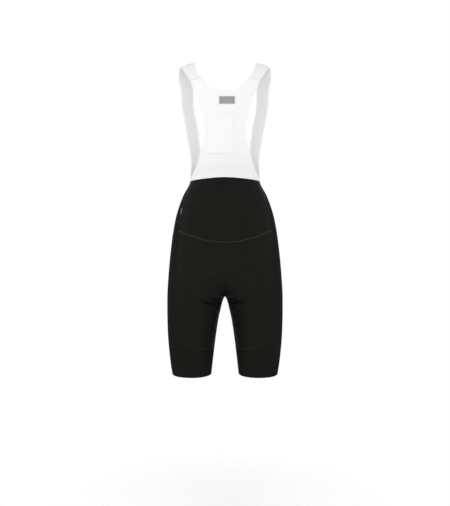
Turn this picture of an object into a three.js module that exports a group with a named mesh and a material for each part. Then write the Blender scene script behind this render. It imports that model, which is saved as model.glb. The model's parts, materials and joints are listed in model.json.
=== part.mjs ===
// Cycling bib shorts in the shape they take when worn, hollow, held up at the shoulder straps.
// Millimetres, +Z up, the front towards -Y and the wearer's left at +X.
// The origin is midway between the tops of the two straps.

import * as THREE from 'three';

// Cloth
const SHORTS_WALL = 1.6;
const BIB_WALL = 1.2;
const PATCH_WALL = 1;
const SEAM_GAP = 0.36;
const PATCH_LIFT = 0.4;

// Levels
const WAIST_FRONT = -372;
const WAIST_SIDE = -354;
const WAIST_BACK = -347;
const CROTCH = -696;
const CROTCH_CURVE = 86;
const CROTCH_CURVE_SQUARENESS = 2.5;
const CROTCH_SIDE = -690;
const HEM = -927;
const HEM_DROP_BACK = 5;
const BAND_HEIGHT = 32;

// Outline seen from behind: half width at each level.
const OUTLINE = [
  { z: -40, half: 157 },
  { z: -66, half: 157 },
  { z: -117, half: 152 },
  { z: -170, half: 142 },
  { z: -213, half: 130 },
  { z: -258, half: 118 },
  { z: -303, half: 108 },
  { z: -342, half: 104 },
  { z: -360, half: 106 },
  { z: -396, half: 125 },
  { z: -450, half: 144 },
  { z: -504, half: 155 },
  { z: -576, half: 164 },
  { z: -648, half: 170 },
  { z: -702, half: 172.5 },
  { z: -792, half: 171.5 },
  { z: -846, half: 168 },
  { z: -900, half: 162 },
  { z: -940, half: 155.5 },
];

// Depth of the body of the garment to the front and to the back.
const TRUNK = [
  { z: -40, front: 78, back: 74 },
  { z: -66, front: 92, back: 85 },
  { z: -117, front: 116, back: 98 },
  { z: -170, front: 121, back: 100 },
  { z: -213, front: 115, back: 96 },
  { z: -258, front: 101, back: 90 },
  { z: -303, front: 87, back: 82 },
  { z: -342, front: 79, back: 76 },
  { z: -360, front: 80, back: 79 },
  { z: -396, front: 88, back: 89 },
  { z: -450, front: 97, back: 104 },
  { z: -504, front: 102, back: 115 },
  { z: -576, front: 102, back: 124 },
  { z: -640, front: 97, back: 125 },
  { z: -700, front: 90, back: 114 },
  { z: -760, front: 84, back: 98 },
];

// Depth of one leg to the front and to the back.
const LEG = [
  { z: -576, front: 101, back: 120 },
  { z: -640, front: 98, back: 118 },
  { z: -696, front: 92, back: 107 },
  { z: -740, front: 87, back: 96 },
  { z: -792, front: 80, back: 86 },
  { z: -846, front: 73, back: 76 },
  { z: -900, front: 66, back: 67 },
  { z: -940, front: 60, back: 60 },
];
const SQUARENESS = 2.2;
const GAP_RATE = 1.55;
const GAP_POWER = 0.6;

// Heights over which the body's rings give way to the legs' rings.
const SHAPE_CHANGE = { from: -596, to: -756 };
const SPACING_CHANGE = { from: -560, to: -680 };
const LEG_SPACING_DEPTH = 120;
const LEG_CROWDING = [0.55, 0.9, -0.45];

// Side seam between the back pieces and the leg piece: how far in it lies from the outline seen from behind.
const SIDE_SEAM = [
  { z: -354, inset: 0 },
  { z: -378, inset: 3 },
  { z: -405, inset: 7 },
  { z: -446, inset: 13 },
  { z: -508, inset: 20 },
  { z: -541, inset: 23.5 },
  { z: -599, inset: 28 },
  { z: -666, inset: 31.5 },
  { z: -722, inset: 30 },
  { z: -763, inset: 28.5 },
  { z: -790, inset: 29.5 },
  { z: -808, inset: 32.5 },
  { z: -822, inset: 38 },
  { z: -833, inset: 47.5 },
];

// Seam under the yoke: a shallow curve, lowest at the middle.
const YOKE_SEAM_MIDDLE = -536;
const YOKE_SEAM_SIDE = -505;
const YOKE_SEAM_HALF = 130;

// Lower seam of the seat piece: level at the inseam, with a corner that turns up into the side seam.
const SEAT_HEM_INNER = -848;
const SEAT_HEM_CORNER = -833;
const SEAT_CORNER_SHARPNESS = 4;

// Creases under the seat: middle, half length, depth and half width of each soft trough.
const CREASE_FADE_DEPTH = 60;
const CREASES = [
  { x: 44, z: -717, reach: 30, depth: 2.4, width: 9, tilt: 0.1 },
  { x: -36, z: -713, reach: 26, depth: 2, width: 9, tilt: -0.08 },
];

// Bib back piece
const NECK_BOTTOM = -93;
const NECK_HALF = 67.5;
const NECK_TOP = -57.5;
const NECK_ROUNDNESS = 2.6;
const SHOULDER_SEAM_X = 101;
const SHOULDER_SEAM_Z = -66;
const ARMHOLE_BOTTOM = -341;
const ARMHOLE = [
  { z: -66, x: 101 },
  { z: -95, x: 90 },
  { z: -118, x: 81.5 },
  { z: -145, x: 75 },
  { z: -174, x: 69 },
  { z: -206, x: 65.5 },
  { z: -237, x: 65.8 },
  { z: -262, x: 70 },
  { z: -288, x: 76 },
  { z: -311, x: 83.5 },
  { z: -327, x: 91.5 },
  { z: -336, x: 98 },
  { z: -341, x: 104 },
];

// Strap over the shoulder, from the back seam to the front: its outer and its inner edge.
const STRAP_TOP = [
  { outX: 114, outY: 61, outZ: -45, inX: 77.5, inY: 66, inZ: -37 },
  { outX: 125, outY: 44, outZ: -28, inX: 84.5, inY: 50, inZ: -16 },
  { outX: 132, outY: 26, outZ: -18, inX: 90, inY: 29, inZ: -5 },
  { outX: 136, outY: 6, outZ: -15, inX: 93, inY: 7, inZ: -1 },
  { outX: 140, outY: -18, outZ: -23, inX: 97, inY: -20, inZ: -7 },
  { outX: 142, outY: -37, outZ: -42, inX: 99, inY: -49, inZ: -29 },
];
const STRAP_CROWN = 2.5;
const STRAP_CROWN_OUTWARDS = 0.3;

// Strap down the front: how far round each edge lies, 0 at the side and -1 at the front.
const STRAP_FRONT = [
  { z: -66, outer: -0.22, inner: -0.42 },
  { z: -117, outer: -0.27, inner: -0.49 },
  { z: -170, outer: -0.3, inner: -0.55 },
  { z: -213, outer: -0.28, inner: -0.55 },
  { z: -258, outer: -0.25, inner: -0.53 },
  { z: -300, outer: -0.18, inner: -0.52 },
  { z: -324, outer: -0.09, inner: -0.53 },
  { z: -341, outer: 0, inner: -0.533 },
];
const STRAP_FOOT_INNER = -0.533;

// Pad inside the seat: where its edge runs, seen from behind and from the front.
const PAD_BACK = {
  top: [{ x: 0, z: -617 }, { x: 18, z: -618 }, { x: 34, z: -621 }, { x: 50, z: -627 }, { x: 64, z: -634 }],
  outer: [{ x: 64, z: -634 }, { x: 82, z: -652 }, { x: 89, z: -676 }, { x: 85, z: -698 }, { x: 72, z: -714 }],
  bottomInner: -750,
};
const PAD_FRONT = {
  top: [{ x: 0, z: -604 }, { x: 10, z: -605 }, { x: 19, z: -608 }, { x: 26, z: -613 }, { x: 31, z: -620 }],
  outer: [{ x: 31, z: -620 }, { x: 37, z: -645 }, { x: 41, z: -670 }, { x: 43, z: -692 }, { x: 42, z: -708 }],
  bottomInner: -750,
};
const PAD_GAP = 3;
const PAD_EDGE = 2;
const PAD_MIDDLE = 8;
const PAD_SLOPE_CELLS = 3;
const PAD_TOP_MARGIN = 12;
const PAD_BOTTOM_MARGIN = 4;
const MERGE_DISTANCE = 0.001;

// Patches on the bib back, and the tab at the left side seam
const POCKET = { left: 53, right: -26, top: -164, bottom: -280, sag: 4, columns: 6, rows: 7 };
const LABEL = { left: 17, right: -28.5, top: -117.5, bottom: -139.7, sag: 0, columns: 4, rows: 2 };
const TAB = { z: -445, height: 17, width: 4.5, fromSeam: 1, rows: 2 };

// Cells of the grids
const FRONT_COLUMNS = 15;
const BACK_COLUMNS = 8;
const COLUMNS = FRONT_COLUMNS + BACK_COLUMNS;
const YOKE_ROWS = 9;
const HIP_ROWS = 4;
const CROTCH_ROWS = 7;
const THIGH_DEPTHS = [1.5, 6, 13.5, 24, 37.5, 54, 72, 91, 109, 125, 139];
const CUFF_ROWS = 3;
const BAND_ROWS = 2;
const YOKE_END = YOKE_ROWS;
const CROTCH_ROW = YOKE_END + HIP_ROWS + CROTCH_ROWS;
const SEAT_END = CROTCH_ROW + THIGH_DEPTHS.length + 1;
const BAND_START = SEAT_END + CUFF_ROWS;
const HEM_ROW = BAND_START + BAND_ROWS;
const BIB_COLUMNS = 10;
const BIB_ROWS = 15;
const STRAP_COLUMNS = 5;
const STRAP_ROWS_EACH = 2;
const PAD_COLUMNS = 5;

// Halvings of the range when a place on the form is looked for
const SEARCH_STEPS = 40;

// Colours
const MATERIALS = {
  seatKnit: { color: '#1c1c1a', roughness: 0.68 },
  sideKnit: { color: '#171813', roughness: 0.8 },
  bandKnit: { color: '#171815', roughness: 0.85 },
  bibMesh: { color: '#f3f3f1', roughness: 0.85 },
  pocketMesh: { color: '#f5f5f4', roughness: 0.85 },
  labelCloth: { color: '#9b9d9e', roughness: 0.7 },
  tabCloth: { color: '#e6dfe0', roughness: 0.6 },
  padFoam: { color: '#3b3b3e', roughness: 0.9 },
};

const { abs, cos, max, min, PI, pow, sin } = Math;
const mix = (a, b, t) => a + (b - a) * t;
const ease = (t) => t * t * (3 - 2 * t);
const within = (value, low, high) => min(max(value, low), high);

// Smooth value of one column of a table, whose rows run downwards, at the level z.
function atLevel(table, column, z) {
  const last = table.length - 1;
  const level = within(z, table[last].z, table[0].z);
  let k = 0;
  while (k < last - 1 && table[k + 1].z > level) k += 1;
  const slope = (row) => {
    const before = table[max(row - 1, 0)];
    const after = table[min(row + 1, last)];
    return (after[column] - before[column]) / (after.z - before.z);
  };
  const span = table[k + 1].z - table[k].z;
  const t = (level - table[k].z) / span;
  const rise = ease(t);
  const leave = t * (1 - t) * (1 - t) * span * slope(k);
  const arrive = t * t * (t - 1) * span * slope(k + 1);
  return mix(table[k][column], table[k + 1][column], rise) + leave + arrive;
}

// Distance across from the middle of a rounded ring, at an angle from its widest place.
function ringAcross(angle, half, depth) {
  const reach = pow(abs(cos(angle)) / half, SQUARENESS) + pow(abs(sin(angle)) / depth, SQUARENESS);
  return cos(angle) * pow(reach, -1 / SQUARENESS);
}

// Depth of a rounded ring at a distance across from its middle.
function ringDepth(offset, half, depth) {
  return depth * pow(max(1 - pow(abs(offset) / half, SQUARENESS), 0), 1 / SQUARENESS);
}

// Half of the gap between the legs.
const legGap = (z) => GAP_RATE * pow(max(CROTCH - z, 0), GAP_POWER);

// Share of a change that is still to come at a level: 1 above it and 0 below it.
const above = ({ from, to }, z) => ease(within((z - to) / (from - to), 0, 1));

// Distance from the middle of a point of the ring. around runs from -1 at the middle of the front, or at the
// inseam of a leg, over the side at 0, to 1 at the middle of the back or at the same inseam.
function acrossAt(around, z) {
  const half = atLevel(OUTLINE, 'half', z);
  const gap = legGap(z);
  const crowding = within(1 - (CROTCH - z) / LEG_SPACING_DEPTH, 0, 1);
  const square = around * around;
  const crowded = around * (LEG_CROWDING[0] + LEG_CROWDING[1] * square + LEG_CROWDING[2] * square * square);
  const legAngle = mix(around, crowded, ease(crowding)) * PI;
  const depth = around < 0 ? 'front' : 'back';
  const leg = ringAcross(legAngle, (half - gap) / 2, atLevel(LEG, depth, z));
  const trunk = ringAcross(around * PI / 2, half, atLevel(TRUNK, depth, z));
  return mix((half + gap) / 2 + leg, trunk, above(SPACING_CHANGE, z));
}

// Share of the body's ring in the middle: it curves in to nothing at the crotch.
function middleShare(z) {
  const height = within((z - CROTCH) / CROTCH_CURVE, 0, 1);
  return pow(1 - pow(1 - height, CROTCH_CURVE_SQUARENESS), 1 / CROTCH_CURVE_SQUARENESS);
}

// Depth of the ring at a distance from the middle: the body's ring above, and a ring for each leg below.
function depthAt(x, z, column) {
  const half = atLevel(OUTLINE, 'half', z);
  const gap = legGap(z);
  const centre = (half + gap) / 2;
  const leg = ringDepth(x - centre, (half - gap) / 2, atLevel(LEG, column, z));
  const trunk = ringDepth(x, half, atLevel(TRUNK, column, z));
  const outwards = ease(within((x - gap) / (centre - gap), 0, 1));
  return mix(leg, trunk, mix(middleShare(z), above(SHAPE_CHANGE, z), outwards));
}

// Depth of the creases under the seat at a point of the back.
function creaseDepth(x, z) {
  let depth = 0;
  for (const crease of CREASES) {
    const along = (x - crease.x) / crease.reach;
    const across = (z - crease.z - crease.tilt * (x - crease.x)) / crease.width;
    depth += crease.depth * Math.exp(-across * across - along * along);
  }
  return depth;
}

// Point of the garment's outer surface. side is 1 on the wearer's left and -1 on the right.
function formPoint(around, z, side = 1) {
  const across = acrossAt(around, z);
  if (around < 0) return new THREE.Vector3(side * across, -depthAt(across, z, 'front'), z);
  const depth = depthAt(across, z, 'back');
  const crease = creaseDepth(side * across, z) * ease(within(depth / CREASE_FADE_DEPTH, 0, 1));
  return new THREE.Vector3(side * across, depth - crease, z);
}

// How far round a point lies that is x from the middle, on the back or the front.
function aroundAt(x, z, front = false) {
  let near = 0;
  let far = 1;
  for (let step = 0; step < SEARCH_STEPS; step += 1) {
    const middle = (near + far) / 2;
    if (acrossAt(front ? -middle : middle, z) > abs(x)) near = middle;
    else far = middle;
  }
  return front ? -near : near;
}

// How far round the side seam lies at a level.
function sideSeamAt(z) {
  return aroundAt(atLevel(OUTLINE, 'half', z) - atLevel(SIDE_SEAM, 'inset', z), z);
}

// A sheet of cloth: points that cells share by their key, and one normal at each point.
class Sheet {
  constructor() {
    this.points = [];
    this.places = new Map();
  }

  point(key, position) {
    if (!this.places.has(key)) {
      this.places.set(key, this.points.length);
      this.points.push(position);
    }
    return this.places.get(key);
  }

  finish(cells) {
    this.normals = this.points.map(() => new THREE.Vector3());
    for (const [a, b, c, d] of cells) {
      const across = this.points[c].clone().sub(this.points[a]);
      const down = this.points[d].clone().sub(this.points[b]);
      const normal = across.cross(down).normalize();
      for (const corner of [a, b, c, d]) this.normals[corner].add(normal);
    }
    for (const normal of this.normals) normal.normalize();
  }
}

// Cells between the columns and rows of a grid of point numbers, facing outwards on the wearer's left.
function gridCells(grid, columns, rows, side) {
  const cells = [];
  for (let i = columns[0]; i < columns[1]; i += 1) {
    for (let j = rows[0]; j < rows[1]; j += 1) {
      const cell = [grid[i][j], grid[i][j + 1], grid[i + 1][j + 1], grid[i + 1][j]];
      cells.push(side > 0 ? cell : [cell[0], cell[3], cell[2], cell[1]]);
    }
  }
  return cells;
}

// Edges that only one cell has.
function openEdges(cells) {
  const edges = new Map();
  for (const cell of cells) {
    cell.forEach((a, k) => edges.set(`${a} ${cell[(k + 1) % 4]}`, [a, cell[(k + 1) % 4]]));
  }
  return [...edges.values()].filter(([a, b]) => !edges.has(`${b} ${a}`));
}

// How far each point of the open edges moves into its own piece, so that pieces stay apart at seams.
function edgePulls(sheet, edges) {
  const pulls = new Map();
  for (const [a, b] of edges) {
    const along = sheet.points[b].clone().sub(sheet.points[a]);
    for (const corner of [a, b]) {
      const inward = sheet.normals[corner].clone().cross(along).normalize();
      pulls.set(corner, [...(pulls.get(corner) ?? []), inward]);
    }
  }
  for (const [corner, [first, second]] of pulls) {
    const turn = max(1 + first.dot(second), 0.5);
    pulls.set(corner, first.clone().add(second).multiplyScalar(SEAM_GAP / 2 / turn));
  }
  return pulls;
}

// A closed wall on some cells of a sheet: lift moves it outwards, thickness is measured inwards.
function clothWall(sheet, cells, { lift = 0, thickness }) {
  const edges = openEdges(cells);
  const pulls = edgePulls(sheet, edges);
  const numbers = [...new Set(cells.flat())];
  const order = new Map(numbers.map((number, k) => [number, k]));
  const outer = [];
  const inner = [];
  for (const number of numbers) {
    const normal = sheet.normals[number];
    const top = sheet.points[number].clone().addScaledVector(normal, lift);
    if (pulls.has(number)) top.add(pulls.get(number));
    const depth = typeof thickness === 'function' ? thickness(number) : thickness;
    outer.push(top);
    inner.push(top.clone().addScaledVector(normal, -depth));
  }
  const count = numbers.length;
  const triangles = [];
  for (const cell of cells) {
    const [a, b, c, d] = cell.map((number) => order.get(number));
    triangles.push(a, b, c, a, c, d);
    triangles.push(a + count, c + count, b + count, a + count, d + count, c + count);
  }
  for (const edge of edges) {
    const [a, b] = edge.map((number) => order.get(number));
    triangles.push(b, a, a + count, b, a + count, b + count);
  }
  const positions = [...outer, ...inner].flatMap((point) => point.toArray());
  const geometry = new THREE.BufferGeometry();
  geometry.setAttribute('position', new THREE.Float32BufferAttribute(positions, 3));
  geometry.setIndex(triangles);
  geometry.computeVertexNormals();
  return geometry;
}

const materials = Object.fromEntries(Object.entries(MATERIALS).map(([name, look]) => [
  name,
  new THREE.MeshStandardMaterial({ ...look, metalness: 0 }),
]));

function piece(name, geometry, material) {
  const mesh = new THREE.Mesh(geometry, materials[material]);
  mesh.name = name;
  return mesh;
}

// Levels of the rows at the middle of the back, at the side seam and at the middle of the front.
function shortsLevels() {
  const levels = [];
  for (let row = 0; row < YOKE_END; row += 1) {
    const t = row / YOKE_END;
    levels.push({
      back: mix(WAIST_BACK, YOKE_SEAM_MIDDLE, t),
      side: mix(WAIST_SIDE, YOKE_SEAM_SIDE, t),
      front: mix(WAIST_FRONT, YOKE_SEAM_MIDDLE, t),
    });
  }
  const curveTop = CROTCH + CROTCH_CURVE;
  for (let row = 0; row < HIP_ROWS + CROTCH_ROWS; row += 1) {
    const turn = (row - HIP_ROWS) / CROTCH_ROWS * PI / 2;
    const middle = row < HIP_ROWS
      ? mix(YOKE_SEAM_MIDDLE, curveTop, row / HIP_ROWS)
      : CROTCH + CROTCH_CURVE * (1 - sin(turn));
    const t = (middle - YOKE_SEAM_MIDDLE) / (CROTCH - YOKE_SEAM_MIDDLE);
    levels.push({ back: middle, side: mix(YOKE_SEAM_SIDE, CROTCH_SIDE, t), front: middle });
  }
  for (const depth of [0, ...THIGH_DEPTHS, CROTCH - SEAT_HEM_INNER]) {
    const middle = CROTCH - depth;
    const t = depth / (CROTCH - SEAT_HEM_INNER);
    levels.push({ back: middle, side: mix(CROTCH_SIDE, SEAT_HEM_CORNER, t), front: middle });
  }
  return levels;
}

// The curve that a row of the back takes from the side seam (0) to the middle (1).
function backRowShape(row, share, around) {
  const waist = ease(share);
  const x = formPoint(around, YOKE_SEAM_MIDDLE).x;
  const yokeSeam = 1 - pow(x / YOKE_SEAM_HALF, 2);
  const seatHem = 1 - pow(1 - share, SEAT_CORNER_SHARPNESS);
  if (row <= YOKE_END) return mix(waist, yokeSeam, row / YOKE_END);
  return mix(yokeSeam, seatHem, (row - YOKE_END) / (SEAT_END - YOKE_END));
}

// Level of the hem of a leg, which is lower at the back than at the front.
const hemLevel = (around) => HEM - HEM_DROP_BACK * sin(PI * around);

// Place on the form of each grid point of the shorts, the same on both sides.
function shortsPlaces() {
  const levels = shortsLevels();
  const seams = levels.map((level) => sideSeamAt(level.side));
  const places = [];
  for (let column = 0; column <= COLUMNS; column += 1) {
    const onBack = column > FRONT_COLUMNS;
    const share = onBack
      ? (column - FRONT_COLUMNS) / BACK_COLUMNS
      : column / FRONT_COLUMNS;
    const placesDown = levels.map((level, row) => {
      const seam = seams[row];
      if (!onBack) {
        return { around: mix(-1, seam, share), z: mix(level.front, level.side, ease(share)) };
      }
      const around = mix(seam, 1, share);
      const shape = column === COLUMNS ? 1 : backRowShape(row, share, around);
      return { around, z: mix(level.side, level.back, shape) };
    });
    const seatHem = placesDown[SEAT_END];
    for (let row = SEAT_END + 1; row <= HEM_ROW; row += 1) {
      const t = (row - SEAT_END) / (HEM_ROW - SEAT_END);
      const around = mix(seatHem.around, -1 + 2 * column / COLUMNS, t);
      const bandTop = hemLevel(around) + BAND_HEIGHT;
      const z = row < BAND_START
        ? mix(seatHem.z, bandTop, (row - SEAT_END) / CUFF_ROWS)
        : mix(bandTop, hemLevel(around), (row - BAND_START) / BAND_ROWS);
      placesDown.push({ around, z });
    }
    places.push(placesDown);
  }
  return places;
}

// The name that a grid point shares with its neighbours: halves meet at the middle, legs close at the inseam.
function shortsKey(column, row, side) {
  const middle = column === 0 || column === COLUMNS;
  if (middle && row === CROTCH_ROW) return 'crotch';
  if (middle && row < CROTCH_ROW) return `middle ${column} ${row}`;
  if (middle) return `inseam ${side} ${row}`;
  return `${side} ${column} ${row}`;
}

function buildShorts() {
  const sheet = new Sheet();
  const places = shortsPlaces();
  const grids = new Map([1, -1].map((side) => [side, places.map((placesDown, column) => (
    placesDown.map(({ around, z }, row) => (
      sheet.point(shortsKey(column, row, side), formPoint(around, z, side))
    ))
  ))]));
  const front = [0, FRONT_COLUMNS];
  const back = [FRONT_COLUMNS, COLUMNS];
  const all = [0, COLUMNS];
  const cellsOf = (side, columns, rows) => gridCells(grids.get(side), columns, rows, side);
  const both = (columns, rows) => [...cellsOf(1, columns, rows), ...cellsOf(-1, columns, rows)];
  sheet.finish(both(all, [0, HEM_ROW]));
  const wall = (cells) => clothWall(sheet, cells, { thickness: SHORTS_WALL });
  const leg = (side) => wall([
    ...cellsOf(side, front, [0, SEAT_END]),
    ...cellsOf(side, all, [SEAT_END, BAND_START]),
  ]);
  const band = (side) => wall(cellsOf(side, all, [BAND_START, HEM_ROW]));
  return [
    piece('back_yoke', wall(both(back, [0, YOKE_END])), 'seatKnit'),
    piece('seat_panel', wall(both(back, [YOKE_END, SEAT_END])), 'seatKnit'),
    piece('leg_left', leg(1), 'sideKnit'),
    piece('leg_right', leg(-1), 'sideKnit'),
    piece('leg_band_left', band(1), 'bandKnit'),
    piece('leg_band_right', band(-1), 'bandKnit'),
  ];
}

// Top edge of the bib back: the neckline, then the shoulder seam. t runs from the middle outwards.
function bibTop(t) {
  const seamStart = 1 - STRAP_COLUMNS / BIB_COLUMNS;
  if (t <= seamStart) {
    const share = t / seamStart;
    return { x: NECK_HALF * share, z: mix(NECK_BOTTOM, NECK_TOP, pow(share, NECK_ROUNDNESS)) };
  }
  const share = (t - seamStart) / (1 - seamStart);
  return { x: mix(NECK_HALF, SHOULDER_SEAM_X, share), z: mix(NECK_TOP, SHOULDER_SEAM_Z, share) };
}

// Level of the waist seam.
function waistLevel(around) {
  if (around < 0) return mix(WAIST_SIDE, WAIST_FRONT, ease(-around));
  return mix(WAIST_SIDE, WAIST_BACK, ease(around));
}

// Places on the form down the outer edge of the bib back: evenly along the armhole, then the side seam.
function bibEdge() {
  const path = new THREE.CatmullRomCurve3(ARMHOLE.map(({ x, z }) => formPoint(aroundAt(x, z), z)));
  const places = path.getSpacedPoints(BIB_ROWS - 1).map(({ x, z }) => ({ around: aroundAt(x, z), z }));
  places[BIB_ROWS - 1] = { around: 0, z: ARMHOLE_BOTTOM };
  const length = path.getLength();
  const downs = places.map((place, row) => row / (BIB_ROWS - 1) * length);
  places.push({ around: 0, z: WAIST_SIDE });
  downs.push(length + ARMHOLE_BOTTOM - WAIST_SIDE);
  return places.map((place, row) => ({ ...place, down: downs[row] / downs[BIB_ROWS] }));
}

// Places on the form down one column of the bib back: t runs from the middle out.
function bibColumn(t, edge) {
  const top = bibTop(t);
  const topAround = aroundAt(top.x, top.z);
  const foot = { around: 1 - t, z: waistLevel(1 - t) };
  return edge.map(({ around, z, down }) => ({
    around: mix(topAround, foot.around, down) + mix(1, around, t)
      - mix(mix(1, edge[0].around, t), mix(1, 0, t), down),
    z: mix(top.z, foot.z, down) + mix(mix(NECK_BOTTOM, WAIST_BACK, down), z, t)
      - mix(mix(NECK_BOTTOM, edge[0].z, t), mix(WAIST_BACK, WAIST_SIDE, t), down),
  }));
}

// Rows of points down one strap, from the shoulder seam at the back to the waist at the front.
function strapRows(t) {
  const rows = [];
  const seam = bibTop(1 - t * STRAP_COLUMNS / BIB_COLUMNS);
  rows.push(formPoint(aroundAt(seam.x, seam.z), seam.z));
  for (const row of STRAP_TOP) {
    const crown = STRAP_CROWN * 4 * t * (1 - t);
    rows.push(new THREE.Vector3(
      mix(row.outX, row.inX, t) + crown * STRAP_CROWN_OUTWARDS,
      mix(row.outY, row.inY, t),
      mix(row.outZ, row.inZ, t) + crown,
    ));
  }
  for (const row of STRAP_FRONT) rows.push(formPoint(mix(row.outer, row.inner, t), row.z));
  const foot = STRAP_FOOT_INNER * t;
  rows.push(formPoint(foot, waistLevel(foot)));
  return rows;
}

function buildBib() {
  const sheet = new Sheet();
  const key = (column, row) => `bib ${column} ${row}`;
  const edge = bibEdge();
  const backGrid = [];
  for (let column = -BIB_COLUMNS; column <= BIB_COLUMNS; column += 1) {
    backGrid.push(bibColumn(abs(column) / BIB_COLUMNS, edge).map(({ around, z }, row) => (
      sheet.point(key(column, row), formPoint(around, z, column < 0 ? 1 : -1))
    )));
  }
  const backCells = gridCells(backGrid, [0, 2 * BIB_COLUMNS], [0, BIB_ROWS], 1);
  const strapCells = [1, -1].map((side) => {
    const grid = [];
    for (let column = 0; column <= STRAP_COLUMNS; column += 1) {
      const controls = strapRows(column / STRAP_COLUMNS);
      const foot = controls.pop();
      const path = new THREE.CatmullRomCurve3(controls, false, 'centripetal');
      const points = [...path.getPoints((controls.length - 1) * STRAP_ROWS_EACH), foot];
      const seamColumn = -side * (BIB_COLUMNS - column);
      grid.push(points.map((point, row) => {
        point.x *= side;
        return sheet.point(row === 0 ? key(seamColumn, 0) : `strap ${side} ${column} ${row}`, point);
      }));
    }
    return gridCells(grid, [0, STRAP_COLUMNS], [0, grid[0].length - 1], -side);
  });
  sheet.finish([...backCells, ...strapCells.flat()]);
  const wall = (cells) => clothWall(sheet, cells, { thickness: BIB_WALL });
  return [
    piece('bib_back', wall(backCells), 'bibMesh'),
    piece('strap_left', wall(strapCells[0]), 'bibMesh'),
    piece('strap_right', wall(strapCells[1]), 'bibMesh'),
  ];
}

// The wall of a patch, which lies just off the cloth that its sheet follows.
function patchWall(sheet, cells) {
  return clothWall(sheet, cells, { lift: PATCH_LIFT + PATCH_WALL, thickness: PATCH_WALL });
}

// A patch that lies on the bib back, given by its edges as seen from behind.
function bibPatch(name, size, material) {
  const sheet = new Sheet();
  const grid = [];
  for (let column = 0; column <= size.columns; column += 1) {
    const t = column / size.columns;
    const x = mix(size.left, size.right, t);
    const top = size.top - size.sag * 4 * t * (1 - t);
    const down = [];
    for (let row = 0; row <= size.rows; row += 1) {
      const z = mix(top, size.bottom, row / size.rows);
      down.push(sheet.point(`${column} ${row}`, formPoint(aroundAt(x, z), z, x < 0 ? -1 : 1)));
    }
    grid.push(down);
  }
  const cells = gridCells(grid, [0, size.columns], [0, size.rows], 1);
  sheet.finish(cells);
  return piece(name, patchWall(sheet, cells), material);
}

// The small tab that lies flat beside the left side seam.
function buildTab() {
  const sheet = new Sheet();
  const grid = [0, 1].map((column) => {
    const down = [];
    for (let row = 0; row <= TAB.rows; row += 1) {
      const z = TAB.z + TAB.height * (0.5 - row / TAB.rows);
      const x = acrossAt(sideSeamAt(z), z) - TAB.fromSeam - column * TAB.width;
      down.push(sheet.point(`${column} ${row}`, formPoint(aroundAt(x, z), z)));
    }
    return down;
  });
  const cells = gridCells(grid, [0, 1], [0, TAB.rows], 1);
  sheet.finish(cells);
  return piece('side_tab', patchWall(sheet, cells), 'tabCloth');
}

// Place of a point on a short run of edge points, t from its first to its last.
function alongEdge(edge, t) {
  const reach = t * (edge.length - 1);
  const k = min(Math.floor(reach), edge.length - 2);
  return { x: mix(edge[k].x, edge[k + 1].x, reach - k), z: mix(edge[k].z, edge[k + 1].z, reach - k) };
}

// Levels of the pad's rows on the middle and the inseam: those of the shorts near the crotch.
function padLevels(top, bottom) {
  const near = shortsLevels().map((level) => level.back);
  return [top, ...near.filter((z) => z < top - PAD_TOP_MARGIN && z > bottom + PAD_BOTTOM_MARGIN), bottom];
}

// One quarter of the pad, in places on the form: columns from the middle out, rows from the top down.
function padQuarter(outline, front) {
  const levels = padLevels(outline.top[0].z, outline.bottomInner);
  const sign = front ? -1 : 1;
  const grid = [];
  for (let column = 0; column <= PAD_COLUMNS; column += 1) {
    const t = column / PAD_COLUMNS;
    grid.push(levels.map((middle, row) => {
      const down = row / (levels.length - 1);
      const top = alongEdge(outline.top, t);
      const outer = alongEdge(outline.outer, down);
      const corner = outline.outer[outline.outer.length - 1];
      const bottomZ = mix(outline.bottomInner, corner.z, ease(t));
      const topAround = aroundAt(top.x, top.z, front);
      const outerAround = aroundAt(outer.x, outer.z, front);
      const topCorner = aroundAt(outline.outer[0].x, outline.outer[0].z, front);
      const lowCorner = aroundAt(corner.x, corner.z, front);
      const around = mix(topAround, mix(sign, lowCorner, t), down) + mix(sign, outerAround, t)
        - mix(mix(sign, topCorner, t), mix(sign, lowCorner, t), down);
      const z = mix(top.z, bottomZ, down) + mix(middle, outer.z, t)
        - mix(mix(levels[0], outline.outer[0].z, t), mix(outline.bottomInner, corner.z, t), down);
      return { around, z };
    }));
  }
  return grid;
}

// The name that a point of the pad shares with the neighbouring quarters.
function padKey(front, side, column, row, z) {
  if (column > 0) return `${front} ${side} ${column} ${row}`;
  if (abs(z - CROTCH) < MERGE_DISTANCE) return 'crotch';
  return z > CROTCH ? `middle ${front} ${row}` : `inseam ${side} ${z.toFixed(3)}`;
}

function buildPad() {
  const sheet = new Sheet();
  const cells = [];
  const rims = new Map();
  for (const front of [false, true]) {
    const places = padQuarter(front ? PAD_FRONT : PAD_BACK, front);
    const rows = places[0].length - 1;
    for (const side of [1, -1]) {
      const grid = places.map((down, column) => down.map(({ around, z }, row) => {
        const number = sheet.point(padKey(front, side, column, row, z), formPoint(around, z, side));
        const edge = min(row, rows - row, PAD_COLUMNS - column);
        rims.set(number, min(edge, rims.get(number) ?? edge));
        return number;
      }));
      cells.push(...gridCells(grid, [0, PAD_COLUMNS], [0, rows], front ? side : -side));
    }
  }
  sheet.finish(cells);
  const thickness = (number) => {
    const inwards = within(rims.get(number) / PAD_SLOPE_CELLS, 0, 1);
    return mix(PAD_EDGE, PAD_MIDDLE, ease(inwards));
  };
  return piece('seat_pad', clothWall(sheet, cells, { lift: -SHORTS_WALL - PAD_GAP, thickness }), 'padFoam');
}

const bibShorts = new THREE.Group();
bibShorts.name = 'bib_shorts';
bibShorts.add(...buildShorts());
bibShorts.add(buildPad());
bibShorts.add(...buildBib());
bibShorts.add(bibPatch('back_pocket', POCKET, 'pocketMesh'));
bibShorts.add(bibPatch('back_label', LABEL, 'labelCloth'));
bibShorts.add(buildTab());

export default bibShorts;
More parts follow.
